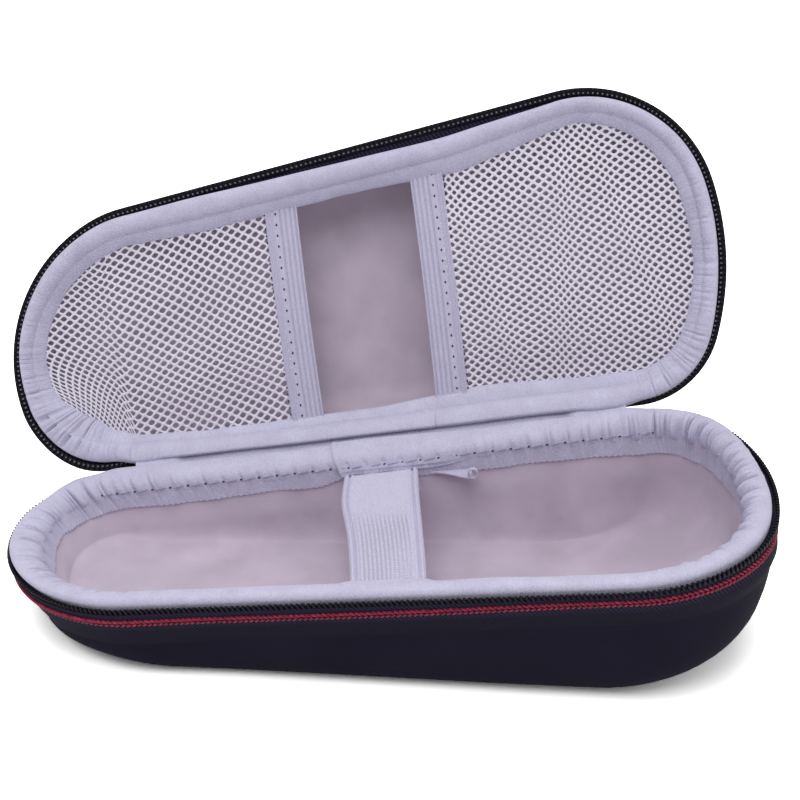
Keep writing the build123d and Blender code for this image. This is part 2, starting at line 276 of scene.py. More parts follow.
hinge = next(joint for joint in frame["joints"] if joint["name"] == "lid_hinge")
X_AXIS = np.array(hinge["axis"])
Y_AXIS = np.array((0.0, 1.0, 0.0))
Z_AXIS = np.cross(X_AXIS, Y_AXIS)
SWING = radians(hinge["range_deg"][1])
HINGE_Y = hinge["pos_m"][1] / MM
RIM_ORIGIN = np.array((0.0, 0.0, hinge["pos_m"][2] / MM))
TILT = atan2(X_AXIS[2], X_AXIS[0])


class Half:
    """One half of the case and its rim coordinates."""

    def __init__(self, body, origin, y_axis, inward, wall, floor_depth, floor_slope, floor_inset):
        self.body = body
        self.origin = origin
        self.y_axis = y_axis
        self.inward = inward
        self.wall = wall
        self.floor_depth = floor_depth
        self.floor_slope = floor_slope
        self.floor_inset = np.array(floor_inset)
        self.face = TAPE + wall + LINING

    def place(self, x, y, depth):
        x, y, depth = (np.asarray(value, float)[..., None] for value in np.broadcast_arrays(x, y, depth))
        return self.origin + x * X_AXIS + y * self.y_axis + depth * self.inward

    def rim(self, s, extra, depth):
        s, extra, depth = np.broadcast_arrays(s, extra, depth)
        x, y, slide_x, slide_y, normal_x, normal_y = rim_values(s)
        share = depth / BAND_DEPTH
        x = x + slide_x * share - normal_x * extra
        y = y + slide_y * share - normal_y * extra
        return self.place(x, y, depth)


LID_INWARD = Y_AXIS * sin(SWING) + Z_AXIS * cos(SWING)
LID_Y = np.cross(LID_INWARD, X_AXIS)
LID_ORIGIN = RIM_ORIGIN + Y_AXIS * (HINGE_Y - HINGE_Y * cos(SWING)) + Z_AXIS * HINGE_Y * sin(SWING)

base = Half("base", RIM_ORIGIN, Y_AXIS, -Z_AXIS, 5.0, RIM_ORIGIN[2] / cos(TILT), tan(TILT),
            (4.5, 10.0, 20.0, 25.0, 43.0))
lid = Half("lid", LID_ORIGIN, LID_Y, LID_INWARD, 2.8, 22.5, tan(radians(2.9)),
           (8.0, 12.0, 15.0, 22.0, 26.0))
HALVES = {"base": base, "lid": lid}

# ================================================================ shapes and meshes


def waves(points, size, seed, count=14):
    """Smooth noise, about one unit high, with bumps of about one size."""
    points = np.atleast_2d(points)
    rng = np.random.default_rng(seed)
    directions = rng.normal(size=(count, points.shape[-1]))
    directions /= np.linalg.norm(directions, axis=1)[:, None]
    lengths = size * rng.uniform(0.8, 1.8, count)
    phases = rng.uniform(0, 2 * pi, count)
    return np.sin(points @ (directions * (2 * pi / lengths)[:, None]).T + phases).sum(axis=-1) / sqrt(count)


def waves_along(s, size, seed):
    return waves(np.asarray(s, float).reshape(-1, 1), size, seed).reshape(np.shape(s))


def gathers(s, pitch, seed):
    """0 on the crests of gathered cloth and down to -1 in its sharp creases."""
    wander = 1.2 * waves_along(s, pitch * 3, seed)
    deep = 0.6 + 0.5 * waves_along(s, pitch * 2.2, seed + 1)
    return -np.clip(deep, 0.1, 1.4) * (1 - np.abs(np.sin(pi * s / pitch + wander)) ** 0.7)


def bell(value, width):
    return np.exp(-(value / width) ** 2)


def weights(*values):
    return np.array(values)[:, None]


def closed(outer, inner):
    """Closed section from two lines that run the same way."""
    return np.concatenate((outer, inner[::-1]))


def headings(line):
    """Unit directions along a line."""
    step = np.gradient(line, axis=0)
    return step / (np.linalg.norm(step, axis=-1)[..., None] + 1e-9)


def spline(a, b, c, d, f):
    """Catmull-Rom curve between b and c, at a share f of the way."""
    curved = (2 * a - 5 * b + 4 * c - d) * f * f + (3 * b - a - 3 * c + d) * f ** 3
    return 0.5 * (2 * b + (c - a) * f + curved)


def smooth_loop(points, steps):
    """Closed smooth curve through points (k, ..., 2), sampled at steps places."""
    k = len(points)
    rows = []
    for t in np.arange(steps) * k / steps:
        i = int(t)
        rows.append(spline(*(points[(i + shift) % k] for shift in (-1, 0, 1, 2)), t - i))
    return np.array(rows)


def grid_faces(rows, columns, wrap_rows, wrap_columns):
    i, j = np.meshgrid(np.arange(rows - (not wrap_rows)), np.arange(columns - (not wrap_columns)),
                       indexing="ij")
    i, j = i.ravel(), j.ravel()
    i2, j2 = i + 1, j + 1

    def index(row, column):
        return (row % rows) * columns + (column % columns)

    faces = np.column_stack((index(i, j), index(i, j2), index(i2, j2), index(i2, j)))
    corners = np.stack(((i, j), (i, j2), (i2, j2), (i2, j)), axis=-1)
    return faces, corners


def make_object(name, points, faces, uv=None, sharp=50.0):
    mesh = bpy.data.meshes.new(name)
    mesh.from_pydata((np.asarray(points) * MM).tolist(), [], [list(map(int, face)) for face in faces])
    if uv is not None:
        layer = mesh.uv_layers.new(name="cloth")
        layer.data.foreach_set("uv", np.asarray(uv, np.float32).ravel())
    build = bmesh.new()
    build.from_mesh(mesh)
    bmesh.ops.recalc_face_normals(build, faces=build.faces)
    build.to_mesh(mesh)
    build.free()
    mesh.shade_smooth()
    mesh.set_sharp_from_angle(angle=radians(sharp))
    obj = bpy.data.objects.new(name, mesh)
    bpy.context.scene.collection.objects.link(obj)
    return obj


def grid_object(name, grid, u, v, wrap_columns=False, sharp=50.0):
    """Tube from a grid (rows, columns, 3), closed at its ends or run into a ring.

    u and v are lengths along the columns and rows.
    """
    rows, columns = grid.shape[:2]
    faces, corners = grid_faces(rows, columns, True, wrap_columns)
    uv = np.stack((u[corners[1]], v[corners[0]]), axis=-1).reshape(-1, 2)
    faces = faces.tolist()
    if not wrap_columns:
        first = range(0, rows * columns, columns)
        faces += [list(first), [index + columns - 1 for index in first]]
        uv = np.vstack((uv, np.zeros((2 * rows, 2))))
    return make_object(name, grid.reshape(-1, 3), faces, uv, sharp)


def lengths_of(grid, axis, wrap):
    """Running length along one axis of a grid, at its middle."""
    line = grid[:, grid.shape[1] // 2] if axis == 0 else grid[grid.shape[0] // 2]
    if wrap:
        line = np.vstack((line, line[:1]))
    return running(line)


def sweep_rim(name, half, section, start=0.0, end=None, step=0.5, sharp=60.0, fine=()):
    """Closed section swept round the rim. section(s) gives extra and depth, each (k, n).

    fine are places that get closer rows.
    """
    whole = end is None
    stretch = LOOP if whole else (end - start) % LOOP
    count = int(stretch / step)
    s = start + np.linspace(0, stretch, count, endpoint=not whole)
    for place in fine:
        s = np.concatenate((s[np.abs(s - place) > 1.0], place + np.linspace(-0.95, 0.95, 27)))
    s = np.sort(s)
    extra, depth = section(s)
    grid = half.rim(s[None, :], extra, depth)
    u = np.append(s, s[0] + LOOP) if whole else s
    return grid_object(name, grid, u, lengths_of(grid, 0, True), wrap_columns=whole, sharp=sharp)


def pod(length, width, height, power=2.0, rings=5, sides=8):
    """Closed rounded bar along its first axis. A high power makes it squarer."""
    def full(value):
        return np.sign(value) * abs(value) ** (2 / power)

    points = [(-length / 2, 0, 0)]
    for turn in np.linspace(-pi / 2, pi / 2, rings + 2)[1:-1]:
        along, size = full(sin(turn)) * length / 2, full(cos(turn))
        for a in 2 * pi * (np.arange(sides) + 0.5) / sides:
            points.append((along, full(cos(a)) * size * width / 2, full(sin(a)) * size * height / 2))
    points.append((length / 2, 0, 0))
    last = len(points) - 1
    faces = []
    for side in range(sides):
        after = (side + 1) % sides
        faces.append((0, 1 + after, 1 + side))
        faces.append((last, last - sides + side, last - sides + after))
        for ring in range(rings - 1):
            low = 1 + ring * sides
            faces.append((low + side, low + after, low + sides + after, low + sides + side))
    return np.array(points), faces


def stamp_rim(name, half, shape, places):
    """Copies of one shape round the rim. A place is (s, extra, depth, slant)."""
    points, faces = shape
    all_points = []
    all_faces = []
    for index, (s, extra, depth, slant) in enumerate(places):
        along = points[:, 0] * cos(slant) - points[:, 2] * sin(slant)
        down = points[:, 0] * sin(slant) + points[:, 2] * cos(slant)
        all_points.append(half.rim(s + along, extra + points[:, 1], depth + down))
        all_faces += [[corner + index * len(points) for corner in face] for face in faces]
    return make_object(name, np.vstack(all_points), all_faces, sharp=70.0)


def stamp_flat(name, shape, places, axes):
    """Copies of one shape at world points. axes are the world directions of the shape's own axes."""
    points, faces = shape
    turned = points @ np.array(axes)
    all_points = np.vstack([place + turned for place in places])
    all_faces = [[corner + index * len(points) for corner in face]
                 for index in range(len(places)) for face in faces]
    return make_object(name, all_points, all_faces, sharp=70.0)


# ================================================================ materials


def linear(*colour):
    """Linear colour of an 8-bit sRGB colour."""
    return tuple(c / 255 / 12.92 if c <= 10 else ((c / 255 + 0.055) / 1.055) ** 2.4 for c in colour)


DARK_CLOTH = linear(27, 24, 40)


class Finish:
    """A procedural material under construction."""

    def __init__(self, name, colour, roughness, sheen=0.0, metallic=0.0, specular=0.5):
        self.material = bpy.data.materials.new(name)
        self.material.use_nodes = True
        self.nodes = self.material.node_tree.nodes
        self.links = self.material.node_tree.links
        self.shader = self.nodes["Principled BSDF"]
        self.shader.inputs["Base Color"].default_value = (*colour, 1)
        self.shader.inputs["Roughness"].default_value = roughness
        self.shader.inputs["Metallic"].default_value = metallic
        self.shader.inputs["Specular IOR Level"].default_value = specular
        self.shader.inputs["Sheen Weight"].default_value = sheen
        self.shader.inputs["Sheen Roughness"].default_value = 0.45
        self.colour = colour
        self.height = None

    def node(self, kind, **values):
        made = self.nodes.new(kind)
        for key, value in values.items():
            if key in made.inputs:
                made.inputs[key].default_value = value
            else:
                setattr(made, key, value)
        return made

    def cloth(self, scale_u=1.0, scale_v=1.0, turn=0.0):
        """Coordinates in millimetres along and across a piece."""
        source = self.node("ShaderNodeUVMap", uv_map="cloth")
        mapping = self.node("ShaderNodeMapping")
        mapping.inputs["Scale"].default_value = (scale_u, scale_v, 1)
        mapping.inputs["Rotation"].default_value = (0, 0, turn)
        self.links.new(source.outputs[0], mapping.inputs["Vector"])
        return mapping.outputs[0]

    def space(self, scale):
        """Coordinates in the row frame, times a scale in turns per millimetre."""
        source = self.node("ShaderNodeTexCoord")
        mapping = self.node("ShaderNodeMapping")
        mapping.inputs["Scale"].default_value = (scale / MM,) * 3
        self.links.new(source.outputs["Object"], mapping.inputs["Vector"])
        return mapping.outputs[0]

    def noise(self, where, detail=3.0, roughness=0.6):
        made = self.node("ShaderNodeTexNoise", Detail=detail, Roughness=roughness, Scale=1.0)
        self.links.new(where, made.inputs["Vector"])
        return made.outputs["Fac"]

    def ribs(self, where, direction="X"):
        made = self.node("ShaderNodeTexWave", Scale=2 * pi / 20)
        made.bands_direction = direction
        self.links.new(where, made.inputs["Vector"])
        return made.outputs["Fac"]

    def maths(self, operation, a, b=None):
        made = self.node("ShaderNodeMath", operation=operation)
        for index, value in enumerate((a, b)):
            if value is None:
                continue
            if isinstance(value, (int, float)):
                made.inputs[index].default_value = value
            else:
                self.links.new(value, made.inputs[index])
        return made.outputs[0]

    def tint(self, factor, low, high):
        """Base colour runs from low to high with a factor."""
        ramp = self.node("ShaderNodeValToRGB")
        ramp.color_ramp.elements[0].position = 0.3
        ramp.color_ramp.elements[1].position = 0.7
        ramp.color_ramp.elements[0].color = (*low, 1)
        ramp.color_ramp.elements[1].color = (*high, 1)
        self.links.new(factor, ramp.inputs[0])
        self.links.new(ramp.outputs[0], self.shader.inputs["Base Color"])

    def fade(self, value, start, end, low=0.0, high=1.0):
        """Runs smoothly from low at start to high at end."""
        made = self.node("ShaderNodeMapRange", interpolation_type="SMOOTHSTEP")
        for key, number in (("From Min", start), ("From Max", end), ("To Min", low), ("To Max", high)):
            made.inputs[key].default_value = number
        self.links.new(value, made.inputs["Value"])
        return made.outputs["Result"]

    def axes(self, where):
        made = self.node("ShaderNodeSeparateXYZ")
        self.links.new(where, made.inputs[0])
        return made.outputs

    def bump(self, height, distance, strength=1.0):
        """Adds a height in millimetres to what is already there."""
        made = self.node("ShaderNodeBump", Strength=strength, Distance=distance * MM)
        self.links.new(height, made.inputs["Height"])
        if self.height is not None:
            self.links.new(self.height, made.inputs["Normal"])
        self.height = made.outputs[0]
        self.links.new(self.height, self.shader.inputs["Normal"])


def darker(colour, share):
    return tuple(c * share for c in colour)


def brushed_cloth(name, colour, rib_pitch=0.62):
    """Soft knitted binding with fine ribs across it."""
    finish = Finish(name, colour, 0.92, sheen=0.25, specular=0.2)
    fibres = finish.noise(finish.space(2.2), 4.0, 0.7)
    clouds = finish.noise(finish.space(0.16), 3.0, 0.6)
    clouds = finish.maths("MULTIPLY", clouds, 0.35)
    mixed = finish.maths("ADD", finish.maths("MULTIPLY", fibres, 0.65), clouds)
    finish.tint(mixed, darker(colour, 0.78), darker(colour, 1.14))
    finish.bump(finish.ribs(finish.cloth(1 / rib_pitch, 1 / rib_pitch)), 0.08, 0.7)
    finish.bump(fibres, 0.3, 0.7)
    return finish.material


def plain_material(name, colour, roughness, shading, tones, height, relief=None, **looks):
    """Material that one noise shades and the same or another one raises.

    shading and relief are noises: scale, detail and roughness. tones are colours, or shares of colour.
    height is how far the relief stands out, and how strongly.
    """
    finish = Finish(name, colour, roughness, **looks)
    shade = finish.noise(finish.space(shading[0]), *shading[1:])
    raised = finish.noise(finish.space(relief[0]), *relief[1:]) if relief else shade
    finish.tint(shade, *(tone if isinstance(tone, tuple) else darker(colour, tone) for tone in tones))
    finish.bump(raised, *height)
    return finish.material


def tape_cloth():
    """Twill tape whose ribs fade out towards the shell."""
    colour = DARK_CLOTH
    finish = Finish("tape_cloth", colour, 0.75, specular=0.1)
    twill = finish.ribs(finish.cloth(1 / 1.03, 1 / 1.03, radians(24)))
    fade = finish.fade(finish.axes(finish.cloth())["Y"], 3.6, 8.5, 1.0, 0.0)
    shown = finish.maths("MULTIPLY", twill, fade)
    finish.tint(shown, colour, darker(colour, 2.6))
    finish.bump(shown, 0.25, 1.0)
    return finish.material


def elastic_cloth(name, colour):
    finish = Finish(name, colour, 0.8, sheen=0.2, specular=0.3)
    threads = finish.ribs(finish.cloth(1 / 0.5, 1 / 0.5))
    fibres = finish.noise(finish.space(2.0), 3.0, 0.6)
    finish.tint(fibres, darker(colour, 0.86), darker(colour, 1.06))
    finish.bump(threads, 0.05, 0.7)
    finish.bump(fibres, 0.06, 0.4)
    return finish.material


def strap_cloth():
    """Elastic with a waffle weave between its edges, smooth towards the back. Its colour darkens in the
    waffle's pattern: painted shade in the weave's cells.
    """
    colour = linear(200, 196, 218)
    finish = Finish("strap_elastic_cloth", colour, 0.8, sheen=0.2, specular=0.3)
    fibres = finish.noise(finish.space(2.0), 3.0, 0.6)
    waffle = finish.maths("MULTIPLY", finish.ribs(finish.cloth(1 / 1.12, 1)),
                          finish.ribs(finish.cloth(1, 1 / 1.12), "Y"))
    along, across, _ = finish.axes(finish.cloth())
    shown = waffle
    for value, start, end in ((along, 24, 34), (across, 2.4, 3.4), (across, 18.4, 17.4)):
        shown = finish.maths("MULTIPLY", shown, finish.fade(value, start, end))
    # the waffle darkens the tint here: painted shade in the weave's cells
    mixed = finish.maths("SUBTRACT", finish.maths("ADD", finish.maths("MULTIPLY", fibres, 0.6), 0.25),
                         finish.maths("MULTIPLY", shown, 0.5))
    finish.tint(mixed, darker(colour, 0.7), darker(colour, 1.06))
    finish.bump(fibres, 0.08, 0.5)
    return finish.material


def thread(name, colour):
    twist = (2.5, 2.0, 0.5)
    return plain_material(name, colour, 0.6, twist, (0.75, 1.1), (0.05, 0.5), sheen=0.1, specular=0.3)


BINDING = brushed_cloth("binding_cloth", linear(196, 193, 217))
PLAIN_EDGE = brushed_cloth("binding_cut_edge", linear(190, 186, 209))
LINING_CLOTH = plain_material(
    "lining_cloth", linear(190, 177, 193), 0.95, (0.06, 3.0, 0.55), (0.85, 1.08), (0.15, 0.5),
    relief=(1.6, 4.0, 0.7), sheen=0.3, specular=0.15)
SHELL = plain_material(
    "shell_cloth", DARK_CLOTH, 0.75, (0.05, 3.0, 0.5), (0.9, 1.15), (0.06, 0.5),
    relief=(3.2, 2.0, 0.5), specular=0.08)
TAPE_CLOTH = tape_cloth()
COIL = plain_material(
    "coil_nylon", linear(14, 12, 22), 0.4, (1.4, 2.0, 0.5), (0.7, 1.6), (0.04, 0.4), specular=0.18)
CORD = plain_material(
    "cord_thread", linear(128, 22, 50), 0.55, (1.1, 3.0, 0.6), (0.5, linear(172, 48, 82)), (0.06, 0.6),
    relief=(4.0, 3.0, 0.6), sheen=0.05, specular=0.3)
NET = plain_material(
    "net_thread", linear(224, 220, 234), 0.55, (1.8, 3.0, 0.6), (0.82, 1.0), (0.08, 0.6),
    sheen=0.15, specular=0.4)
ELASTIC = elastic_cloth("pocket_elastic_cloth", linear(190, 186, 208))
STRAP = strap_cloth()
METAL = plain_material(
    "black_metal", linear(26, 25, 30), 0.3, (0.7, 4.0, 0.65), (0.8, linear(48, 47, 54)), (0.02, 0.4),
    metallic=0.7, specular=0.6)
# dark dots for stitches, needle holes and the elastics' net edges: thread, and painted shade in holes and
# under edges
THREAD_AND_PAINTED_SHADE = thread("thread_and_painted_shade", linear(52, 46, 68))
# seam threads tinted darker than the binding: thread, and painted shade along the seam's groove
SEAM_THREAD_GROOVE_SHADE = thread("seam_thread_groove_shade", linear(146, 140, 172))
# pale grey coil dots: thread, and painted glints between the zip teeth
COIL_THREAD_AND_GLINT = thread("coil_thread_and_glint", linear(118, 116, 128))


def finish_piece(obj, half, material, slot, *nodes):
    obj.data.materials.append(material)
    if half is not None:
        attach(obj, half.body)
    if nodes:
        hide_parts(*nodes)
    return obj


# ================================================================ shells and linings


NEARLY_LEVEL = pi / 2 - 1e-9      # the powers in a bowl's row are real up to here


def bowl_row(half, extra, turn, scale=1.0):
    drop = sin(turn) ** (2 / BOWL_ROUNDNESS)
    closing = 1 - cos(turn) ** (2 / BOWL_ROUNDNESS)
    depth = BAND_DEPTH + (half.floor_depth - (extra - TAPE) - BAND_DEPTH) * drop
    inset = BAND_INSET + (half.floor_inset - BAND_INSET) * closing + extra
    lean = atan(half.floor_slope * drop)
    points = outline(inset)[0]
    middle = points.mean(axis=0)
    points = middle + (points - middle) * scale
    return np.column_stack((points[:, 0] * cos(lean), points[:, 1], depth + points[:, 0] * sin(lean)))


base_fullness = around(
    left_tip=2.2, left_back=0.6, hinge_middle=0.0, right_back=0.0, right_tip=0.0, right_front=-0.3,
    front_wide=-0.4, front_right=0.3, front_middle=0.7, front_left=0.6, left_front=3.0,
)
base_taper = around(
    left_tip=0.0, hinge_middle=0.0, right_back=0.5, right_tip=1.0, right_front=1.0, front_wide=0.25,
    front_right=0.0, front_left=0.0,
)
TAPER = (                         # depth, and how far the wide end stands out there
    (0, 0.0), (4, 0.0), (9, 1.4), (15, 0.1), (21, -1.0), (27, -1.5), (32, -2.0), (38, -2.4), (44, -2.4),
)
FULLEST_DEPTH = 13.0
FULL_SPREAD = 9.0


def fullness(half, s, depth):
    """How far the base stands out beyond its even shape, most of all near one depth."""
    if half is lid:
        return 0 * (s + depth)
    taper = np.interp(depth, *zip(*TAPER)) * base_taper(s)
    return base_fullness(s) * bell(depth - FULLEST_DEPTH, FULL_SPREAD) + taper


def bowl_rows(half, extra, top, swollen):
    """Rows of x, y and depth, from the rim down to the middle of the floor."""
    rows = []
    for depth in np.linspace(top, BAND_DEPTH, 5)[:-1]:
        points = RIM_POINTS + RIM_SLIDE * depth / BAND_DEPTH - RIM_NORMALS * extra
        rows.append(np.column_stack((points, np.full(len(points), depth))))
    for turn in radians(90) * np.linspace(0, 1, 21):
        rows.append(bowl_row(half, extra, min(turn, NEARLY_LEVEL)))
    if swollen:
        for row in rows:
            row[:, :2] += RIM_NORMALS * fullness(half, RIM_S[:-1], row[:, 2])[:, None]
    for scale in (0.93, 0.8, 0.6, 0.4, 0.2, 0.03):
        rows.append(bowl_row(half, extra, NEARLY_LEVEL, scale))
    return np.array(rows)


def bowl_object(name, half, outer, inner, top, soft, seed):
    """Closed bowl between two wall lines. soft is how far its inner face waves in and out."""
    outside = bowl_rows(half, outer, top, swollen=outer == TAPE)
    inside = bowl_rows(half, inner, top, swollen=False)
    if soft:
        flat = inside.reshape(-1, 3)
        bumps = soft * (waves(flat, 26, seed) + 0.35 * waves(flat, 7, seed + 1)).reshape(inside.shape[:2])
        middle = inside.mean(axis=(0, 1))
        towards = middle - inside
        towards /= np.linalg.norm(towards, axis=-1)[..., None]
        inside = inside + towards * (np.clip(bumps, -1, 1) + soft)[..., None]
    rows = np.concatenate((outside[::-1], inside))
    grid = half.place(rows[..., 0], rows[..., 1], rows[..., 2])
    columns = grid.shape[1]
    u = np.append(RIM_S[:-1], LOOP)
    v = lengths_of(grid, 0, False)
    faces, corners = grid_faces(len(grid), columns, False, True)
    uv = np.stack((u[corners[1]], v[corners[0]]), axis=-1).reshape(-1, 2)
    ends = [list(range(columns)), list(range((len(grid) - 1) * columns, len(grid) * columns))]
    uv = np.vstack((uv, np.zeros((2 * columns, 2))))
    return make_object(name, grid.reshape(-1, 3), faces.tolist() + ends, uv, sharp=60.0)


for name, half in HALVES.items():
    wall_end = TAPE + half.wall
    shell = bowl_object(f"{name}_shell_cover", half, TAPE, wall_end - 0.05, 3.2, 0, 1)
    finish_piece(shell, half, SHELL, "shell_fabric", f"{name}_shell")
    inside = bowl_object(f"{name}_inner_lining", half, wall_end, half.face - 0.25, 3.2, 0.12, 5)
    finish_piece(inside, half, LINING_CLOTH, "lining_fabric", f"{name}_lining")

# ================================================================ rolls and flanges of the binding

SECTION_STEPS = 36
BASE_ROLL = (
    (1.6, 2.2), (0.95, 1.4), (0.78, 0.0), (0.95, -1.5), (2.1, -2.65), (4.2, -3.0),
    (6.2, -2.6), (7.6, -1.4), (8.1, 0.3), (7.6, 2.1), (6.2, 3.1), (3.2, 3.1),
)
BASE_ROLL_AT_HINGE = (
    (1.6, 2.2), (1.0, 1.3), (0.5, -0.4), (0.04, -2.2), (1.2, -3.45), (3.8, -3.4),
    (6.0, -2.7), (7.4, -1.4), (7.75, 0.2), (7.4, 2.0), (6.2, 3.1), (3.2, 3.1),
)
LID_ROLL = (
    (2.4, 2.0), (1.95, 0.9), (1.8, -0.1), (2.15, -1.0), (3.2, -1.6), (4.6, -1.75),
    (5.9, -1.35), (6.7, -0.55), (7.0, 0.5), (6.7, 2.0), (5.6, 3.1), (3.8, 3.1),
)
LID_ROLL_AT_HINGE = (
    (1.6, 2.0), (1.0, 1.0), (0.45, -0.5), (0.04, -2.1), (1.0, -3.3), (2.3, -3.2),
    (3.5, -2.5), (4.3, -1.2), (4.6, 0.2), (4.4, 2.0), (3.8, 3.1), (2.6, 3.1),
)
ROLL_FLOOR = 3.15
LID_ROLL_START = 1.8
LID_ROLL_WIDTH = 5.2
HINGE_ROLL_WIDTH = 4.6

lid_black = around(
    left_tip=1.75, left_corner=2.3, left_turn=1.2, hinge_far_left=0.7, hinge_far_right=0.7, right_back=1.6,
    right_tip=1.75, right_front=1.75, front_wide=2.3, front_right=3.9, front_middle=3.3, front_left=2.0,
    left_front=1.7,
)
lid_outer = around(
    left_tip=-0.7, left_low=-0.8, left_corner=-0.9, left_turn=-2.0, net_apex=-1.5, slider_left=-0.6,
    hinge_left=-0.6, hinge_far_right=-0.6, right_back=-0.4, right_tip=-0.75, right_front=-0.6,
    front_wide=-0.6, front_middle=-0.6, front_left=-0.6, left_front=-0.6, blur=10.0,
)
base_outer = around(
    left_tip=-0.25, hinge_middle=-0.25, right_bend=-0.3, right_back=-0.6, right_tip=-0.8, right_low=-0.8,
    right_front=-0.6, front_wide=-0.25, front_left=-0.25, blur=8.0,
)
base_lift = around(
    left_tip=-0.3, left_low=-0.8, left_corner=-1.5, left_turn=0.5, net_apex=0.4, hinge_left=0.0,
    hinge_right=0.0, hinge_far_right=0.4, right_end=1.5, right_bend=0.9, right_back=0.8, right_tip=0.0,
    front_middle=0.0, left_front=0.0, blur=8.0,
)
base_roll_in = around(
    left_tip=0.9, left_back=0.8, hinge_far_left=0.1, hinge_middle=0.0, hinge_far_right=0.1, right_back=1.0,
    right_tip=1.5, right_low=0.6, right_front=0.45, front_wide=0.85, front_left=0.7, left_front=0.7,
    blur=8.0,
)
lid_groove = around(
    left_tip=4.2, left_back=7.4, hinge_far_left=5.6, hinge_left=4.3, hinge_middle=4.6, hinge_right=5.4,
    hinge_far_right=5.6, right_back=6.4, right_tip=5.7, right_front=5.6, front_wide=5.9, front_right=8.9,
    front_middle=8.6, front_left=7.6, left_front=5.8,
)
ring_edge = around(
    left_tip=5.6, left_low=6.6, left_corner=11.0, left_turn=11.5, net_apex=6.7, hinge_left=5.8,
    hinge_middle=6.7, hinge_right=9.6, hinge_far_right=8.4, right_back=9.0, right_tip=7.6, right_front=9.1,
    front_wide=7.6, front_right=12.6, front_middle=10.7, front_left=10.3, left_front=6.9, blur=8.0,
)
lid_flat = around(
    left_tip=0.3, left_corner=0.8, hinge_far_left=0.3, hinge_left=0.0, hinge_middle=0.0,
    hinge_far_right=0.0, right_back=0.5, right_tip=0.25, right_front=0.0, front_wide=0.0, left_front=0.1,
)
lid_gather = around(
    left_tip=0.9, left_low=1.4, left_corner=1.5, left_turn=1.4, net_apex=0.5, hinge_left=0.06,
    hinge_middle=0.0, hinge_far_right=0.15, right_back=0.9, right_tip=0.5, right_front=0.12, front_wide=0.1,
    front_left=0.06, left_front=0.1,
)
base_gather = around(
    left_tip=1.7, left_back=1.1, hinge_far_left=0.35, hinge_left=0.08, hinge_middle=0.0,
    hinge_far_right=0.5, right_back=1.7, right_tip=1.8, right_front=0.9, front_wide=0.05, front_left=0.02,
    left_front=1.3,
)
base_flange_low = around(
    left_tip=6.2, left_back=5.8, hinge_left=5.3, hinge_middle=5.3, hinge_far_right=5.8, right_back=7.6,
    right_tip=8.6, right_front=7.0, front_wide=5.6, front_left=5.4,
)
GATHER_PITCH = {"base": 2.5, "lid": 2.2}
GATHER_SEED = {"base": 21, "lid": 31}
GATHER_DEPTH = {"base": 1.9, "lid": 1.3}


def creases(half, s):
    """0 on the crests of gathered cloth and down to about -1 in its creases."""
    return gathers(s, GATHER_PITCH[half.body], GATHER_SEED[half.body])


TUCKED_IN = 0.56
TUCK = weights(0, 0.2, 0.7, 1.0, 0.6, 0, 0, 0, 0, 0, 0, 0)


def tucked(s):
    """How far the rolls lie in behind the hinge cloth. Beyond its ends they stand out."""
    x, y = rim_values(s)[:2]
    behind = between(x, HINGE_LEFT - 7, HINGE_LEFT - 2, HINGE_RIGHT + 2, HINGE_RIGHT + 7)
    return TUCKED_IN * behind * (y > 0)


def roll_profile(plain, at_hinge, s, further=0.0):
    """Control points (12, n, 2) of the roll section, as extra and depth."""
    share = hinge_share(s, further)[None, :, None]
    points = np.array(plain)[:, None, :] * (1 - share) + np.array(at_hinge)[:, None, :] * share
    points[..., 0] += TUCK * tucked(s)
    return points


SEAM_PITCH = 5.0


def seam_pinch(s):
    """Dimples where the stitches pull the binding in, from 0 to 1."""
    x, y = rim_values(s)[:2]
    along = np.abs((s / SEAM_PITCH) % 1.0 - 0.5) * SEAM_PITCH
    return bell(SEAM_PITCH / 2 - along, 0.55) * (y > 0) * between(x, -86, -78, 74, 84)


def strap_lump(s):
    """1 where the end of the strap swells the roll, and 0 elsewhere."""
    x, y = rim_values(s)[:2]
    return between(x, -11.0, -7.5, 10.5, 14.0) * (y < 0)


def base_roll_section(s):
    points = roll_profile(BASE_ROLL, BASE_ROLL_AT_HINGE, s, 5.0)
    outer = weights(1.0, 1.0, 1.0, 0.8, 0.35, 0, 0, 0, 0, 0, 0, 0)
    points[..., 0] += outer * base_roll_in(s) * (1 - hinge_share(s))
    top = weights(0, 0, 0.1, 0.5, 1.0, 1.0, 1.0, 0.6, 0.2, 0, 0, 0)
    points[..., 1] -= top * base_lift(s)
    inner = weights(0, 0, 0, 0, 0.1, 0.35, 0.75, 1.0, 1.0, 0.7, 0, 0)
    points[..., 0] += inner * 0.8 * strap_lump(s)
    points[..., 1] -= inner * 0.3 * strap_lump(s)
    pull = inner * base_gather(s) * GATHER_DEPTH["base"] * creases(base, s)
    billow = inner * (0.12 * waves_along(s, 18, 3) + 0.4 * base_gather(s) * waves_along(s, 4.2, 5))
    pinch = weights(0, 0, 0, 0, 0, 0, 0.1, 0.45, 0.8, 0.5, 0, 0) * seam_pinch(s)
    points[..., 0] += pull + billow - 0.5 * pinch
    points[..., 1] -= 0.45 * pull - 0.1 * waves_along(s, 30, 4)
    curve = smooth_loop(points, SECTION_STEPS)
    return curve[..., 0], np.minimum(curve[..., 1], ROLL_FLOOR)


def lid_seam_dent(s):
    """Joint of the lid's binding: a narrow dent, and a step that dies out to its right."""
    x, y = rim_values(s)[:2]
    beyond = x - LID_SEAM
    step = 0.5 * step_up(beyond, -0.1, 0.1) * np.exp(-np.maximum(beyond, 0) / 6.0)
    return (bell(beyond, 0.22) + step) * (y > 0)


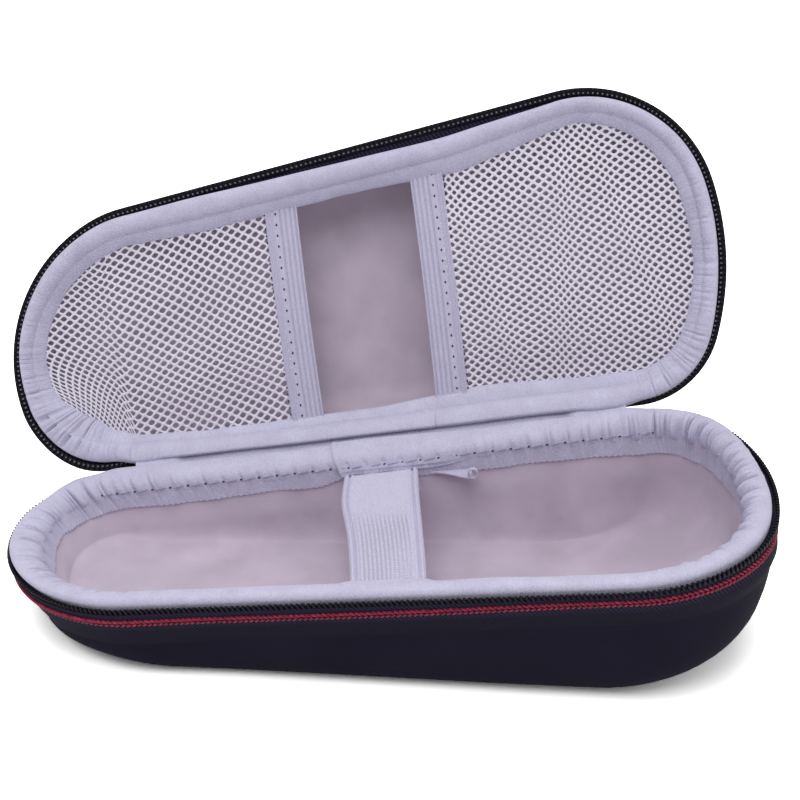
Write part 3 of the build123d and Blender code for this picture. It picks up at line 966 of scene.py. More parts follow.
def lid_roll_section(s):
    at_hinge = hinge_share(s)
    points = roll_profile(LID_ROLL, LID_ROLL_AT_HINGE, s)
    shift = (lid_black(s) - LID_ROLL_START) * (1 - at_hinge)
    start = LID_ROLL_START * (1 - at_hinge)
    width = LID_ROLL_WIDTH * (1 - at_hinge) + HINGE_ROLL_WIDTH * at_hinge
    stretch = (lid_groove(s) - start - shift) / width
    points[..., 0] = start + shift + (points[..., 0] - start) * stretch
    flat = lid_flat(s)
    above = np.minimum(points[..., 1], 0)
    points[..., 1] += -above * 0.5 * flat
    weight = weights(0, 0, 0, 0.15, 0.45, 0.75, 1.0, 1.0, 1.0, 0.5, 0, 0)
    pull = weight * lid_gather(s) * GATHER_DEPTH["lid"] * creases(lid, s)
    points[..., 1] -= pull
    points[..., 0] += 0.3 * pull
    points[..., 1] += 0.12 * waves_along(s, 24, 9)
    outer = weights(0, 0, 0, 0.6, 1, 1, 1, 1, 0.8, 0, 0, 0)
    points[..., 1] += outer * 0.35 * lid_seam_dent(s)
    curve = smooth_loop(points, SECTION_STEPS)
    return curve[..., 0], np.minimum(curve[..., 1], ROLL_FLOOR)


def flatten_with_lid(obj, half):
    """Gives the binding its own copy of its mesh. The foot of its wall is worked out but not used."""
    foot = half.place(0.0, 0.0, ROLL_FLOOR) * MM
    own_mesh(obj)


base_roll = sweep_rim("base_rolled_edge", base, base_roll_section, step=0.4)
finish_piece(base_roll, base, BINDING, "binding_fabric", "base_rim_roll")
lid_roll = sweep_rim("lid_rolled_edge", lid, lid_roll_section, step=0.4, fine=(s_at(LID_SEAM, HINGE_SIDE),))
finish_piece(lid_roll, lid, BINDING, "binding_fabric", "lid_rim_roll")
for roll, half in ((base_roll, base), (lid_roll, lid)):
    flatten_with_lid(roll, half)

PINKING = 1.65
FLANGE_THICK = 0.45
FLANGE_LIFT = 1.6                 # the base's flange rides up beside the strap
BASE_FLANGE_TOP = 0.7
BASE_FLANGE_FROM_RIM = 7.75
LID_FLANGE_END = 3.25


def pinked(s):
    """Saw edge of pinked cloth, from 0 to 1."""
    return np.abs(((s / PINKING) % 1.0) * 2 - 1)


def base_flange_section(s):
    x, y = rim_values(s)[:2]
    lift = FLANGE_LIFT * bell(x - STRAP_BACK[0] + 1.4, 5.0) * (y > 0)
    low = base_flange_low(s) + 0.45 * pinked(s) + 0.2 * waves_along(s, 22, 12) - lift
    crease = base_gather(s) * creases(base, s)
    share = np.linspace(0, 1, 9)[:, None]
    depth = BASE_FLANGE_TOP + (low - BASE_FLANGE_TOP) * share
    extra = BASE_FLANGE_FROM_RIM - 0.62 * share ** 0.7 + 1.3 * crease * (1 - 0.75 * share)
    extra = extra + 0.12 * waves_along(s, 9, 13) * share - 0.5 * seam_pinch(s) * (1 - share) ** 3
    under = np.maximum(extra - FLANGE_THICK, base.face - 0.3)
    extra = np.maximum(extra, under + 0.2)
    return closed(extra, under), closed(depth, depth)


base_flange = sweep_rim("base_pinked_flange", base, base_flange_section, step=0.33)
finish_piece(base_flange, base, PLAIN_EDGE, "binding_fabric", "base_binding_flange")


def lid_flange_section(s):
    start = lid_groove(s) - 0.9
    edge = np.maximum(ring_edge(s) + 0.05 * waves_along(s, 9, 41), start + 1.2)
    share = np.linspace(0, 1, 11)[:, None]
    extra = start + (edge - start) * share
    crease = lid_gather(s) * creases(lid, s)
    flat = lid_flat(s)
    at_hinge = hinge_share(s)
    top = 0.55 - 0.6 * flat + 1.0 * at_hinge
    depth = top + (LID_FLANGE_END - top) * (0.25 * share + 0.75 * share ** 3)
    depth = depth - 1.5 * crease * share ** 0.5 * (1 - 0.3 * share)
    depth = depth + 0.12 * waves_along(s, 13, 42) * share
    under = depth + FLANGE_THICK
    return closed(extra, extra), closed(depth, under)


lid_flange = sweep_rim("lid_sewn_flange", lid, lid_flange_section, step=0.33)
finish_piece(lid_flange, lid, BINDING, "binding_fabric", "lid_binding_flange")

# ================================================================ zip: tapes, teeth, red cord

TOOTH_PITCH = 1.35
FIRST_TOOTH = 3.2                 # from the end of the hinge cloth
CORD_DEPTH = 3.9
CORD_FROM_HINGE = 21.5
TAPE_FADE = 12.2

hinge_start = s_at(HINGE_RIGHT, HINGE_SIDE)
hinge_end = s_at(HINGE_LEFT, HINGE_SIDE)
lid_tape_swell = around(
    left_tip=0.25, left_front=0.9, front_left=0.9, front_middle=0.1, front_wide=0.0, right_tip=0.0,
    hinge_middle=0.0, left_corner=0.0,
)


def swell(half, s):
    """How far the tape stands out beside the cord."""
    return lid_tape_swell(s) if half is lid else 0 * s


def tape_section(half, s):
    depth = np.array((1.15, 1.5, 2.6, 4.0, 5.5, 7.0, 8.6, 10.4, TAPE_FADE))[:, None] + 0 * s
    fade = step_up(depth, 5.5, TAPE_FADE)
    full = fullness(half, s, depth)
    outer = 0.02 + 0.73 * fade - swell(half, s) * bell(depth - 4.0, 2.2) - full
    inner = 0.85 - full
    return closed(outer, inner), closed(depth, depth)


def inner_tape_section(half, s):
    """Flat inner part of the tape, between the coil and the binding."""
    end = lid_black(s) + 0.6 if half is lid else base_roll_in(s) + 1.5
    end = np.maximum(end, 1.5)
    share = weights(0.0, 0.5, 1.0)
    extra = 0.3 + (end - 0.3) * share
    depth = INNER_TAPE_DEPTH[half.body] + 0.12 * waves_along(s, 15, 91) * share
    return closed(extra, extra), np.concatenate((depth, depth[::-1] + 0.4))


COIL_SHAPE = (                    # share of the width from the outer edge in, and depth
    (0.0, 1.3), (-0.02, 0.5), (0.03, 0.1), (0.25, 0.08), (0.5, 0.2), (0.8, 0.45), (1.0, 0.95),
    (0.9, 1.6), (0.15, 1.7),
)
COIL_WIDTH = 2.4


def lid_coil_section(s):
    """The closed row of the lid's coil, seen face on."""
    shape = np.array(COIL_SHAPE)[:, None, :]
    extra = lid_outer(s) + 0.1 + shape[..., 0] * COIL_WIDTH
    return extra, shape[..., 1] + 0 * extra


def cord_depth(s):
    """The cord runs nearer to the teeth round the wide front."""
    x, y = rim_values(s)[:2]
    return CORD_DEPTH - 0.75 * bell(x - 52, 34) * (y < 0)


INNER_TAPE_DEPTH = {"base": 1.15, "lid": 0.75}
TOOTH_SIZES = {"base": (0.7, 1.1, 1.9), "lid": (0.85, 2.1, 1.4)}
TOOTH_TOP = {"base": -0.5, "lid": -0.2}
LID_TOOTH_INSET = 0.22
TIP_SIZE = (0.66, 0.9, 1.1)
TIP_FROM_EDGE = 0.7
TIP_DEPTH = -0.02
DOT_SIZE = (0.5, 0.55, 0.5)
DOT_DEPTH = {"base": 1.0, "lid": -0.2}
DOT_FROM_EDGE = {"base": 0.9, "lid": 1.5}
STRAND_SIZE = (1.7, 1.25, 0.72)
CORD_ROWS = ((-0.58, 0.55), (0.58, -0.55))     # depth from the cord's middle, and slant


def coil_rows(name, half, starts):
    """Teeth of one half and the pale dots between them: the stitches that hold them, and painted glints
    between the teeth. The lid's teeth also show their tips.
    """
    edges = [float(lid_outer(s)) + LID_TOOTH_INSET if half is lid else float(base_outer(s)) for s in starts]
    _, reach, tall = TOOTH_SIZES[name]
    tooth = pod(*TOOTH_SIZES[name], power=4.5, rings=4)
    rows = [("teeth", tooth, reach / 2, TOOTH_TOP[name] + tall / 2, COIL)]
    if half is lid:
        rows.append(("tips", pod(*TIP_SIZE, power=3.0, rings=4), TIP_FROM_EDGE, TIP_DEPTH, COIL))
    # pale dots between the teeth: coil stitching, and painted glints where light catches between the teeth
    dot = pod(*DOT_SIZE, rings=3, sides=6)
    rows.append(("stitches", dot, DOT_FROM_EDGE[name], DOT_DEPTH[name], COIL_THREAD_AND_GLINT))
    for kind, shape, from_edge, depth, material in rows:
        places = [(s, edge + from_edge, depth, 0.0) for s, edge in zip(starts, edges)]
        row = stamp_rim(f"{name}_coil_{kind}", half, shape, places)
        finish_piece(row, half, material, "zip_coil", *[f"{name}_zip_coil"] * (kind == "teeth"))


def zip_half(name, half):
    tape = sweep_rim(f"{name}_ribbed_tape", half, partial(tape_section, half), hinge_end, hinge_start)
    finish_piece(tape, half, TAPE_CLOTH, "zip_tape_fabric", f"{name}_zip_tape")
    section = partial(inner_tape_section, half)
    inner_tape = sweep_rim(f"{name}_inner_tape", half, section, hinge_end, hinge_start)
    finish_piece(inner_tape, half, TAPE_CLOTH, "zip_tape_fabric")
    run = (hinge_start - hinge_end) % LOOP
    shift = 0.0 if half is base else TOOTH_PITCH / 2
    count = int((run - 2 * FIRST_TOOTH) / TOOTH_PITCH)
    coil_rows(name, half, [hinge_end + FIRST_TOOTH + shift + i * TOOTH_PITCH for i in range(count)])
    places = []
    for row, slant in CORD_ROWS:
        for i in range(int((run - 2 * CORD_FROM_HINGE) / TOOTH_PITCH)):
            s = hinge_end + CORD_FROM_HINGE + (i + 0.5) * TOOTH_PITCH
            depth = cord_depth(s)
            out = float(swell(half, s) + fullness(half, s, depth))
            places.append((s, -0.15 - out, depth + row, slant))
    cord = stamp_rim(f"{name}_twisted_cord", half, pod(*STRAND_SIZE), places)
    finish_piece(cord, half, CORD, "red_cord", f"{name}_red_cord")


for name, half in HALVES.items():
    zip_half(name, half)

coil = sweep_rim("lid_coil_row", lid, lid_coil_section, hinge_end, hinge_start)
finish_piece(coil, lid, COIL, "zip_coil")

# ================================================================ nets and their elastics

NET_STEPS = {                     # the two ways from one hole to the next
    "left": (np.array((1.64, 1.04)), np.array((-1.60, 1.57))),
    "right": (np.array((1.45, 1.17)), np.array((-1.36, 1.21))),
}
NET_HOLE = {"left": 0.385, "right": 0.35}
NET_THICK = 0.36
NET_UNDER_RING = 1.4              # how far the net runs on under the sewn flange
NET_UNDER_ELASTIC = 1.5
LATTICE_REACH = 85
POCKET_DEPTH = 4.0
LEFT_FOLD = -69.0
RIGHT_FOLDS = ((34, 0.22, 0.8, 5.0), (56, -0.12, 0.9, 6.0), (77, 0.3, 0.7, 5.0))


def net_warp(side, spots):
    """The cloth's own lattice, pulled together at its folds."""
    x, y = spots[:, 0].copy(), spots[:, 1].copy()
    if side == "left":
        beyond = np.minimum(x - LEFT_FOLD, 0)
        share = 1 - step_up(beyond, -5, 0)
        x -= beyond * (0.06 + 0.5 * step_up(y, 8, 37))
        y += 0.16 * beyond - 0.1 * y * share
    else:
        for place, lean, _, wide in RIGHT_FOLDS:
            d = (x - place - lean * y) / wide
            x -= 0.22 * wide * d * np.exp(-d * d)
    wander = np.column_stack((waves(spots, 30, 55), waves(spots, 30, 56))) * 0.35
    return np.column_stack((x, y)) + wander


def net_depth(side, x, y):
    s, inside = from_rim(x, y)
    rise = step_up(inside, ring_edge(s) - 2.0, ring_edge(s) + 16.0)
    depth = POCKET_DEPTH - 1.1 * rise
    spot = np.column_stack((x, y))
    depth += 0.35 * rise * waves(spot, 24, 52 if side == "left" else 57)
    if side == "left":
        fold = x - LEFT_FOLD
        depth += 1.8 * rise * (1 - step_up(fold, -12, 2)) - 0.8 * rise * bell(fold, 3.5)
    else:
        for place, lean, deep, wide in RIGHT_FOLDS:
            depth -= deep * rise * bell(x - place - lean * y, wide)
    return depth


def net_object(side):
    across, down = NET_STEPS[side]
    if side == "left":
        low, high = -100.0, ELASTICS["left"] - ELASTIC_WIDTH / 2 + NET_UNDER_ELASTIC
    else:
        low, high = ELASTICS["right"] + ELASTIC_WIDTH / 2 - NET_UNDER_ELASTIC, 100.0
    turns = range(-LATTICE_REACH, LATTICE_REACH)
    cells = [(i, j) for i in turns for j in turns]
    centres = net_warp(side, np.array([(i + 0.5) * across + (j + 0.5) * down for i, j in cells]))
    near = (centres[:, 0] > low) & (centres[:, 0] < high) & (np.abs(centres[:, 1]) < 50)
    cells = [cell for cell, keep in zip(cells, near) if keep]
    centres = centres[near]
    s, inside = from_rim(centres[:, 0], centres[:, 1])
    cells = [cell for cell, keep in zip(cells, inside > ring_edge(s) - NET_UNDER_RING) if keep]
    points = {}
    heights = []
    flat = []

    def vertex(key, where, height):
        if key not in points:
            points[key] = len(flat)
            flat.append(where)
            heights.append(height)
        return points[key]

    faces = []
    for i, j in cells:
        ring = ((2, 0), (2, 1), (2, 2), (1, 2), (0, 2), (0, 1), (0, 0), (1, 0))
        outer = []
        hole = []
        for u, v in ring:
            where = (i + u / 2) * across + (j + v / 2) * down
            outer.append(vertex((2 * i + u, 2 * j + v), where, 0.1))
            size = NET_HOLE[side] * (1.0 if 1 in (u, v) else 0.8)
            inner = (i + 0.5 + (u - 1) * size) * across + (j + 0.5 + (v - 1) * size) * down
            hole.append(vertex((2 * i + u, 2 * j + v, i, j), inner, 0.0))
        for k in range(8):
            after = (k + 1) % 8
            faces.append((outer[k], outer[after], hole[after], hole[k]))
    flat = net_warp(side, np.array(flat))
    depth = net_depth(side, flat[:, 0], flat[:, 1]) - np.array(heights)
    obj = make_object(f"{side}_pocket_mesh", lid.place(flat[:, 0], flat[:, 1], depth), faces, sharp=80.0)
    solid = obj.modifiers.new("thickness", "SOLIDIFY")
    solid.thickness = NET_THICK * MM
    solid.offset = 0.0
    size = np.ptp(flat, axis=0)
    finish_piece(obj, lid, NET, "net_fabric", f"{side}_pocket_net")


ELASTIC_DEPTH = 2.95
ELASTIC_BOW = 0.5
ELASTIC_FROM_FRONT = 6.5          # from the rim outline to its ends
ELASTIC_FROM_BACK = 5.2
STITCH_PITCH = 3.0
SHADE_DOT_PITCH = 1.95
ELASTIC_STITCH = (0.75, 0.6, 0.3)


def elastic_height(across):
    """Ribs of the elastic, from the edge at its net across to its free edge."""
    ridge = 0.5 * bell(across - 0.5, 0.3) + 0.35 * bell(across - 1.35, 0.25)
    height = ridge - 0.2 * bell(across - 2.0, 0.25) + 0.12 * bell(across - 3.6, 0.4)
    for groove in (4.2, 5.6, 7.0, 8.3):
        height = height - 0.42 * bell(across - groove, 0.22)
    return height + 0.2 * bell(across - ELASTIC_WIDTH + 0.3, 0.25)


def elastic_piece(side):
    middle = ELASTICS[side]
    towards_net = -1 if side == "left" else 1
    across = np.linspace(0, ELASTIC_WIDTH, 90)
    x = middle + towards_net * (ELASTIC_WIDTH / 2 - across)
    ends = []
    for sign in (-1, 1):
        edge = RIM_POINTS[np.sign(RIM_POINTS[:, 1]) == sign]
        ends.append(edge[np.abs(edge[:, 0] - middle).argmin()][1])
    y = np.linspace(ends[0] + ELASTIC_FROM_FRONT, ends[1] - ELASTIC_FROM_BACK, 90)
    arch = np.sin(pi * (y - y[0]) / (y[-1] - y[0]))
    bow = ELASTIC_BOW * arch
    side_bow = 0.35 * arch * towards_net
    depth = ELASTIC_DEPTH - bow[None, :] - elastic_height(across)[:, None] + 0 * y
    spots = np.column_stack((np.repeat(across, len(y)), np.tile(y, len(across))))
    depth = depth + 0.05 * waves(spots, 9, 61).reshape(depth.shape)
    xs = x[:, None] + side_bow[None, :]
    top = lid.place(xs, y[None, :], depth)
    bottom = lid.place(xs, y[None, :], np.full_like(depth, 3.9) - 0.6 * bow[None, :])
    grid = closed(top, bottom)
    obj = grid_object(f"{side}_ribbed_elastic", grid, y, lengths_of(grid, 0, True), sharp=40.0)
    finish_piece(obj, lid, ELASTIC, "elastic_fabric", f"{side}_pocket_elastic")
    places = []
    # dark stitch dots along the elastic: thread, and painted shade in their needle holes
    for y_stitch in np.arange(y[0] + 3, y[-1] - 2, STITCH_PITCH):
        x_stitch = middle + towards_net * (ELASTIC_WIDTH / 2 - 2.9) + np.interp(y_stitch, y, side_bow)
        places.append(lid.place(x_stitch, y_stitch, ELASTIC_DEPTH - 0.02 - np.interp(y_stitch, y, bow)))
    # dark dots just beyond the elastic's net edge: painted shadow under that edge
    for y_shade_dot in np.arange(y[0] + 2, y[-1] - 1, SHADE_DOT_PITCH):
        x_shade_dot = middle + towards_net * (ELASTIC_WIDTH / 2 + 0.2) + np.interp(y_shade_dot, y, side_bow)
        places.append(lid.place(x_shade_dot, y_shade_dot, 3.1))
    stitch = pod(*ELASTIC_STITCH, rings=3, sides=6)
    seam = stamp_flat(f"{side}_elastic_stitches", stitch, places, (lid.y_axis, X_AXIS, lid.inward))
    finish_piece(seam, lid, THREAD_AND_PAINTED_SHADE, "elastic_fabric")


for side in ELASTICS:
    elastic_piece(side)
    net_object(side)

# ================================================================ strap across the base

STRAP_TOP = 3.3
STRAP_THICK = 1.3
STRAP_BEND = 1.6
STRAP_SAG = 0.5
STRAP_TAB_END = 10.0
WAFFLE = 0.56
STRAP_TABS = {"back": 7.9, "front": 10.6}


def strap_rows():
    """y and depth along the middle of the strap, from its back tab to its front one."""
    back = HINGE_SIDE - STRAP_TABS["back"]
    front = STRAP_TABS["front"] - HINGE_SIDE
    start, end = back - STRAP_BEND, front + STRAP_BEND
    low = STRAP_TOP + STRAP_BEND
    tab = np.linspace(low, STRAP_TAB_END, 8)
    bends = np.linspace(0, pi / 2, 6)
    path = [(back, depth) for depth in tab[::-1]]
    path += [(back - STRAP_BEND * (1 - cos(turn)), low - STRAP_BEND * sin(turn)) for turn in bends[1:]]
    path += [(start + (end - start) * share, STRAP_TOP + STRAP_SAG * sin(pi * share))
             for share in np.linspace(0, 1, 110)[1:-1]]
    path += [(end - STRAP_BEND * sin(turn), STRAP_TOP + STRAP_BEND * (1 - cos(turn))) for turn in bends]
    path += [(front, depth) for depth in tab[1:]]
    return np.array(path)


def strap_object():
    path = strap_rows()
    run = running(path)
    fine = np.arange(0, run[-1], 0.2)
    y = np.interp(fine, run, path[:, 0])
    depth = np.interp(fine, run, path[:, 1])
    tangent = headings(np.column_stack((y, depth)))
    up = np.column_stack((-tangent[:, 1], tangent[:, 0]))
    share = step_up(y, -HINGE_SIDE + 8, HINGE_SIDE - 8)
    left = STRAP_FRONT[0] + (STRAP_BACK[0] - STRAP_FRONT[0]) * share - 1.0 * bell(y - 17, 11)
    right = STRAP_FRONT[1] + (STRAP_BACK[1] - STRAP_FRONT[1]) * share
    across = np.linspace(0, 1, 120)[:, None]
    x = left + (right - left) * across
    width = right - left
    from_edge = np.minimum(across, 1 - across) * width
    rib = 0.5 * bell(from_edge - 0.7, 0.5) + 0.22 * bell(from_edge - 2.3, 0.35)
    rib = rib - 0.5 * bell(from_edge - 1.6, 0.25)
    inner = step_up(from_edge, 2.7, 3.2) * (0.25 + 0.75 * step_up(-y, -18, -4))
    waffle = 0.24 * np.sin(pi * (x - left) / WAFFLE) * np.sin(pi * fine / WAFFLE + 0 * x)
    raise_by = rib + inner * waffle
    edge = STRAP_THICK / 2 * (1 - 0.5 * bell(from_edge, 0.4))
    top_y = y - 0 * x + up[:, 0] * (edge + raise_by)
    top_depth = depth + up[:, 1] * (edge + raise_by)
    low_y = y - up[:, 0] * edge
    low_depth = depth - up[:, 1] * edge
    top = base.place(x, top_y, top_depth)
    low = base.place(x, low_y, low_depth)
    grid = closed(top, low)
    obj = grid_object("woven_strap", grid, fine, lengths_of(grid, 0, True), sharp=60.0)
    finish_piece(obj, base, STRAP, "elastic_fabric", "elastic_strap", "strap_tabs")


strap_object()

# ================================================================ binding overlap, stitches, loose tail

PATCH_THICK = 0.45


def patch_section(s):
    points = roll_profile(BASE_ROLL, BASE_ROLL_AT_HINGE, s)
    cover = points[3:10]
    cover[..., 1] += 0.1 * waves_along(s, 30, 4)
    t = np.linspace(0, len(cover) - 1.0, 44)
    rows = []
    for value in t:
        i = min(int(value), len(cover) - 2)
        before, after = cover[max(i - 1, 0)], cover[min(i + 2, len(cover) - 1)]
        rows.append(spline(before, cover[i], cover[i + 1], after, value - i))
    line = np.array(rows)
    x = rim_values(s)[0]
    rest = step_up(x, 12.0, PATCH[1] - 1.0)
    line[-1, :, 1] += 0.9 * (1 - rest)
    tangent = headings(line)
    outward = np.stack((-tangent[..., 1], tangent[..., 0]), axis=-1)
    outward *= np.sign(((line - np.array((4.0, 0.3))) * outward).sum(axis=-1, keepdims=True) + 1e-9)
    share = np.linspace(0, 1, len(line))[:, None]
    lift = (0.1 + 0.25 * share ** 3 * (1 + waves_along(s, 8, 71))) * (1 - rest) - 0.5 * rest
    hem = 0.18 * bell(share - 0.93, 0.04) + 0.2 * bell(x - PATCH[0] - 0.6, 0.5)
    pinch = 0.45 * seam_pinch(s) * bell(share - 0.8, 0.07)
    low = line + outward * lift[..., None]
    high = line + outward * (lift + PATCH_THICK + (hem - pinch) * (1 - rest))[..., None]
    both = closed(high, low)
    return both[..., 0], both[..., 1]


patch = sweep_rim("binding_overlap_cloth", base, patch_section,
                  s_at(PATCH[1], HINGE_SIDE), s_at(PATCH[0], HINGE_SIDE), step=0.3)
finish_piece(patch, base, BINDING, "binding_fabric", "binding_overlap")
flatten_with_lid(patch, base)


def tail_object():
    """Loose end of the binding tape. It lies out from the wall, and its end curls up."""
    start_x, length, curl = 13.0, 11.6, 1.5
    wall_y = HINGE_SIDE - 8.4
    x = list(start_x + np.linspace(0, length, 24))
    depth = list(4.2 + 0.5 * np.linspace(0, 1, 24) ** 2)
    for turn in np.linspace(0, 1.8 * pi, 28)[1:]:
        x.append(start_x + length + curl * sin(turn))
        depth.append(4.7 - curl * (1 - cos(turn)))
    x, depth = np.array(x), np.array(depth)
    width = 0.4 + 4.0 * step_up(x, start_x, start_x + length)
    width[24:] = width[23]
    far = np.where(np.arange(len(x)) < 23, 0.0, width - 1.1)
    share = np.linspace(0, 1, 9)[:, None]
    y = wall_y - far - (width - far) * share
    drop = 0.7 + 0.5 * step_up(x, start_x, start_x + length) * (y - wall_y) / (width.max() * -1)
    tangent = headings(np.column_stack((x, depth)))
    thick = 0.36
    inner_x = x + tangent[:, 1] * thick
    inner_depth = depth - tangent[:, 0] * thick
    low = base.place(x + 0 * y, y, depth + drop)
    high = base.place(inner_x + 0 * y, y, inner_depth + drop)
    grid = closed(high, low)
    obj = grid_object("binding_loose_tail", grid, lengths_of(grid, 1, False), lengths_of(grid, 0, True))
    finish_piece(obj, base, PLAIN_EDGE, "binding_fabric", "binding_tail")


tail_object()

SEAM_ENDS = (80, -84)
SEAM_FROM_RIM = 8.1
OVERLAP_THICK = 0.4
NEEDLE_HOLE = (0.85, 0.5, 0.5)
SEAM_STITCH = (3.5, 0.3, 0.3)
seam_start, seam_end = (s_at(x, HINGE_SIDE) for x in SEAM_ENDS)
holes = np.arange(np.ceil(seam_start / SEAM_PITCH), seam_end / SEAM_PITCH) * SEAM_PITCH
patch_start, patch_end = s_at(PATCH[1] - 12, HINGE_SIDE), s_at(PATCH[0], HINGE_SIDE)


def seam_face(s):
    """How far inside the outline the seam lies: further on the overlap."""
    return SEAM_FROM_RIM + (OVERLAP_THICK if patch_start < s < patch_end else 0.0)


# dark pods in the seam's needle holes: painted shade in the holes and puckers
hole_places = [(s, seam_face(s) - 0.35, 0.55, 0.3) for s in holes]
seam_hole_shade = stamp_rim("base_needle_hole_shade", base, pod(*NEEDLE_HOLE, rings=3), hole_places)
finish_piece(seam_hole_shade, base, THREAD_AND_PAINTED_SHADE, "binding_fabric")
# darker seam threads: thread, and painted shade along the seam's groove
thread_places = [(s + SEAM_PITCH / 2, seam_face(s + SEAM_PITCH / 2) - 0.05, 0.52, 0.14) for s in holes[:-1]]
seam_threads = stamp_rim("base_binding_stitches", base, pod(*SEAM_STITCH), thread_places)
finish_piece(seam_threads, base, SEAM_THREAD_GROOVE_SHADE, "binding_fabric")

# ================================================================ hinge cloths

INNER_HINGE_ENDS = (-69.5, 68.5)
HINGE_SUNK = 1.1                  # the inner cloth lies this much further in beyond the outer one's ends
BLEND_REACH = 2.8                 # from the hinge axis, where two end points lie; they are worked out but not used


def hinge_line(near_axis, under, wall_depth):
    """y and z from the base's wall to the lid's, and the cloth's width.

    near_axis is how far from the hinge axis it bends, and under how far it lies in from the outline.
    """
    bend = (HINGE_Y - near_axis * cos(SWING / 2), near_axis * sin(SWING / 2))
    depth = np.linspace(wall_depth, 0.5, 9)
    wall = np.column_stack((HINGE_SIDE - 1.5 * depth / BAND_DEPTH + 0.05 - under, -depth))
    y, z = wall[::-1, 0] - HINGE_Y, -wall[::-1, 1]
    lid_wall = np.column_stack((HINGE_Y + y * cos(SWING) + z * sin(SWING), z * cos(SWING) - y * sin(SWING)))
    line = np.vstack((wall, bend, lid_wall))
    run = running(line)
    fine = np.linspace(0, run[-1], 60)
    line = np.column_stack([np.interp(fine, run, values) for values in line.T])
    for _ in range(6):
        line[1:-1] = (line[:-2] + 2 * line[1:-1] + line[2:]) / 4
    return line, run[-1]


def hinge_strip(name, ends, line, width, thickness, material, slot, *nodes):
    left, right = ends
    s = np.linspace(s_at(right, HINGE_SIDE), s_at(left, HINGE_SIDE), 220)
    x = rim_values(s)[0]
    tangent = headings(line)
    both = closed(line, line - thickness * np.column_stack((tangent[:, 1], -tangent[:, 0])))
    sunk = HINGE_SUNK * np.maximum(step_up(HINGE_LEFT - x, -3.0, 1.0), step_up(x - HINGE_RIGHT, -3.0, 1.0))
    y = both[:, 0][:, None] + 0.04 * waves_along(x, 16, 81) - sunk * cos(SWING / 2)
    z = both[:, 1][:, None] + sunk * sin(SWING / 2)
    grid = base.place(x[None, :], y, -z)
    obj = grid_object(name, grid, x, lengths_of(grid, 0, True))
    finish_piece(obj, None, material, slot, *nodes)
    start = base.place(0.0, HINGE_Y - BLEND_REACH, 0.6) * MM
    away = np.array((HINGE_Y + BLEND_REACH * cos(pi - SWING), BLEND_REACH * sin(pi - SWING)))
    end = base.place(0.0, away[0], -away[1] - 0.6) * MM
    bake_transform(obj)


outer_line = hinge_line(near_axis=0.9, under=0.0, wall_depth=10.5)
hinge_strip("hinge_outer_cloth", (HINGE_LEFT, HINGE_RIGHT), *outer_line, 0.5, TAPE_CLOTH,
            "zip_tape_fabric", "hinge_cloth", "lid_hinge_cloth")
inner_line = hinge_line(near_axis=2.7, under=1.3, wall_depth=3.1)
hinge_strip("hinge_inner_cloth", INNER_HINGE_ENDS, *inner_line, 0.4, BINDING,
            "binding_fabric", "hinge_lining")

# ================================================================ CAD nodes that stay

METAL_NODES = [f"{kind}_{side}{part}" for side in ("left", "right")
               for kind, part in (("slider", ""), ("slider", "_pin"), ("pull", ""))]
for name in METAL_NODES + ["base_zip_stops", "lid_zip_stops"]:
    node = frame["nodes"][name]
    node.data.materials.clear()
    node.data.materials.append(METAL)
    bevel = node.modifiers.new("soft_edges", "BEVEL")
    bevel.width = 0.18 * MM
    bevel.segments = 2
    bevel.limit_method = "ANGLE"
    bevel.angle_limit = radians(35)

# ================================================================ floor, light and camera, in metres

FLOOR_TONE = 0.9                  # how much light the floor gives back to the case
FLOOR_SEEN = 2.1                  # and how pale the camera sees it
FLOOR_REACH = 3.0
FLOOR_DROP = -0.0004
SKY_LIGHT = 0.42
SKY_SEEN = 1.0


def camera_sees(tree, hidden, shown, socket):
    """Sends shown to a socket where the camera looks, and hidden where light only bounces."""
    ray = tree.nodes.new("ShaderNodeLightPath")
    value = tree.nodes.new("ShaderNodeMapRange")
    value.inputs["To Min"].default_value = hidden
    value.inputs["To Max"].default_value = shown
    tree.links.new(ray.outputs["Is Camera Ray"], value.inputs["Value"])
    tree.links.new(value.outputs["Result"], socket)


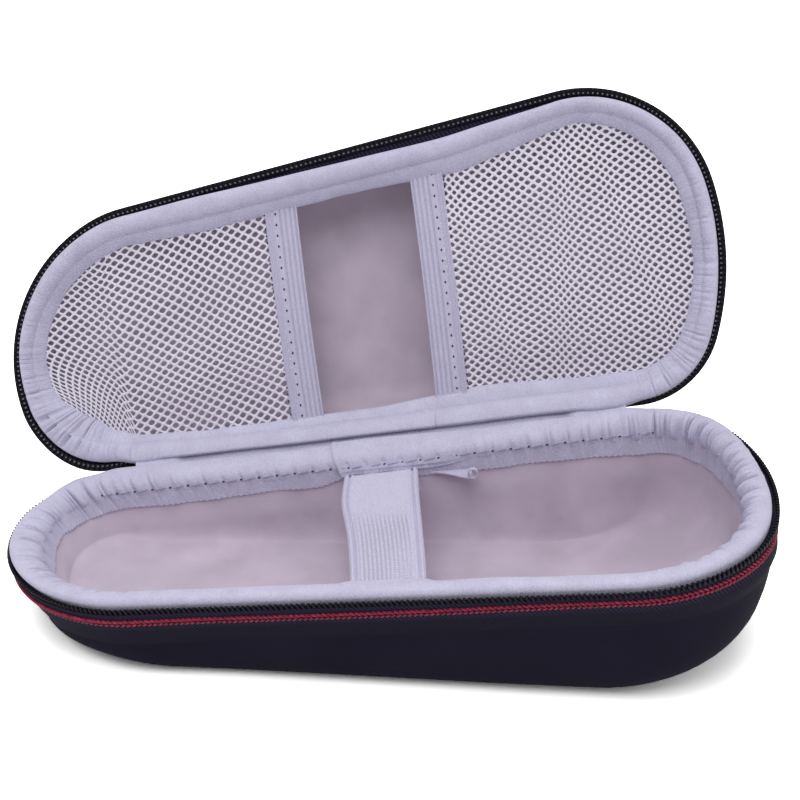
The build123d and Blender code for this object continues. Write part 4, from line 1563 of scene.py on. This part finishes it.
def floor_piece():
    mesh = bpy.data.meshes.new("floor")
    signs = ((-1, -1), (1, -1), (1, 1), (-1, 1))
    mesh.from_pydata([(x * FLOOR_REACH, y * FLOOR_REACH, FLOOR_DROP) for x, y in signs], [], [(0, 1, 2, 3)])
    obj = bpy.data.objects.new("floor", mesh)
    bpy.context.scene.collection.objects.link(obj)
    material = bpy.data.materials.new("pale_floor")
    material.use_nodes = True
    shader = material.node_tree.nodes["Principled BSDF"]
    camera_sees(material.node_tree, FLOOR_TONE, FLOOR_SEEN, shader.inputs["Base Color"])
    shader.inputs["Roughness"].default_value = 0.9
    shader.inputs["Specular IOR Level"].default_value = 0.1
    mesh.materials.append(material)


def area_light(name, place, target, size, power):
    lamp = bpy.data.lights.new(name, "AREA")
    lamp.shape = "DISK"
    lamp.size = size
    lamp.energy = power
    obj = bpy.data.objects.new(name, lamp)
    obj.location = place
    obj.rotation_euler = (Vector(target) - Vector(place)).to_track_quat("-Z", "Y").to_euler()
    bpy.context.scene.collection.objects.link(obj)


floor_piece()
area_light("key", (-0.25, -0.6, 1.2), (0, 0, 0.03), 1.1, 9)
area_light("fill", (0.8, -0.6, 0.7), (0, 0, 0.04), 0.9, 2)
area_light("top", (0.05, 0.2, 1.3), (0, 0.02, 0.03), 1.0, 4)
area_light("back", (-0.35, 1.0, 0.8), (0, 0, 0.05), 0.9, 4)

world = bpy.data.worlds.new("studio")
world.use_nodes = True
backdrop = world.node_tree.nodes["Background"]
backdrop.inputs["Color"].default_value = (1, 1, 1, 1)
camera_sees(world.node_tree, SKY_LIGHT, SKY_SEEN, backdrop.inputs["Strength"])
bpy.context.scene.world = world

AZIMUTH = radians(-0.1)
ELEVATION = radians(25.87)
DISTANCE = 0.42908
TARGET = Vector((0.00498, 0.00028, 0.06446))
camera = bpy.data.cameras.new("camera")
camera.lens = 77.33
camera.sensor_width = 36.0
camera_object = bpy.data.objects.new("camera", camera)
away = Vector((sin(AZIMUTH) * cos(ELEVATION), -cos(AZIMUTH) * cos(ELEVATION), sin(ELEVATION)))
camera_object.location = TARGET + away * DISTANCE
camera_object.rotation_euler = (-away).to_track_quat("-Z", "Y").to_euler()
bpy.context.scene.collection.objects.link(camera_object)
bpy.context.scene.camera = camera_object
bpy.context.scene.view_settings.view_transform = "Standard"
bpy.context.scene.view_settings.look = "None"
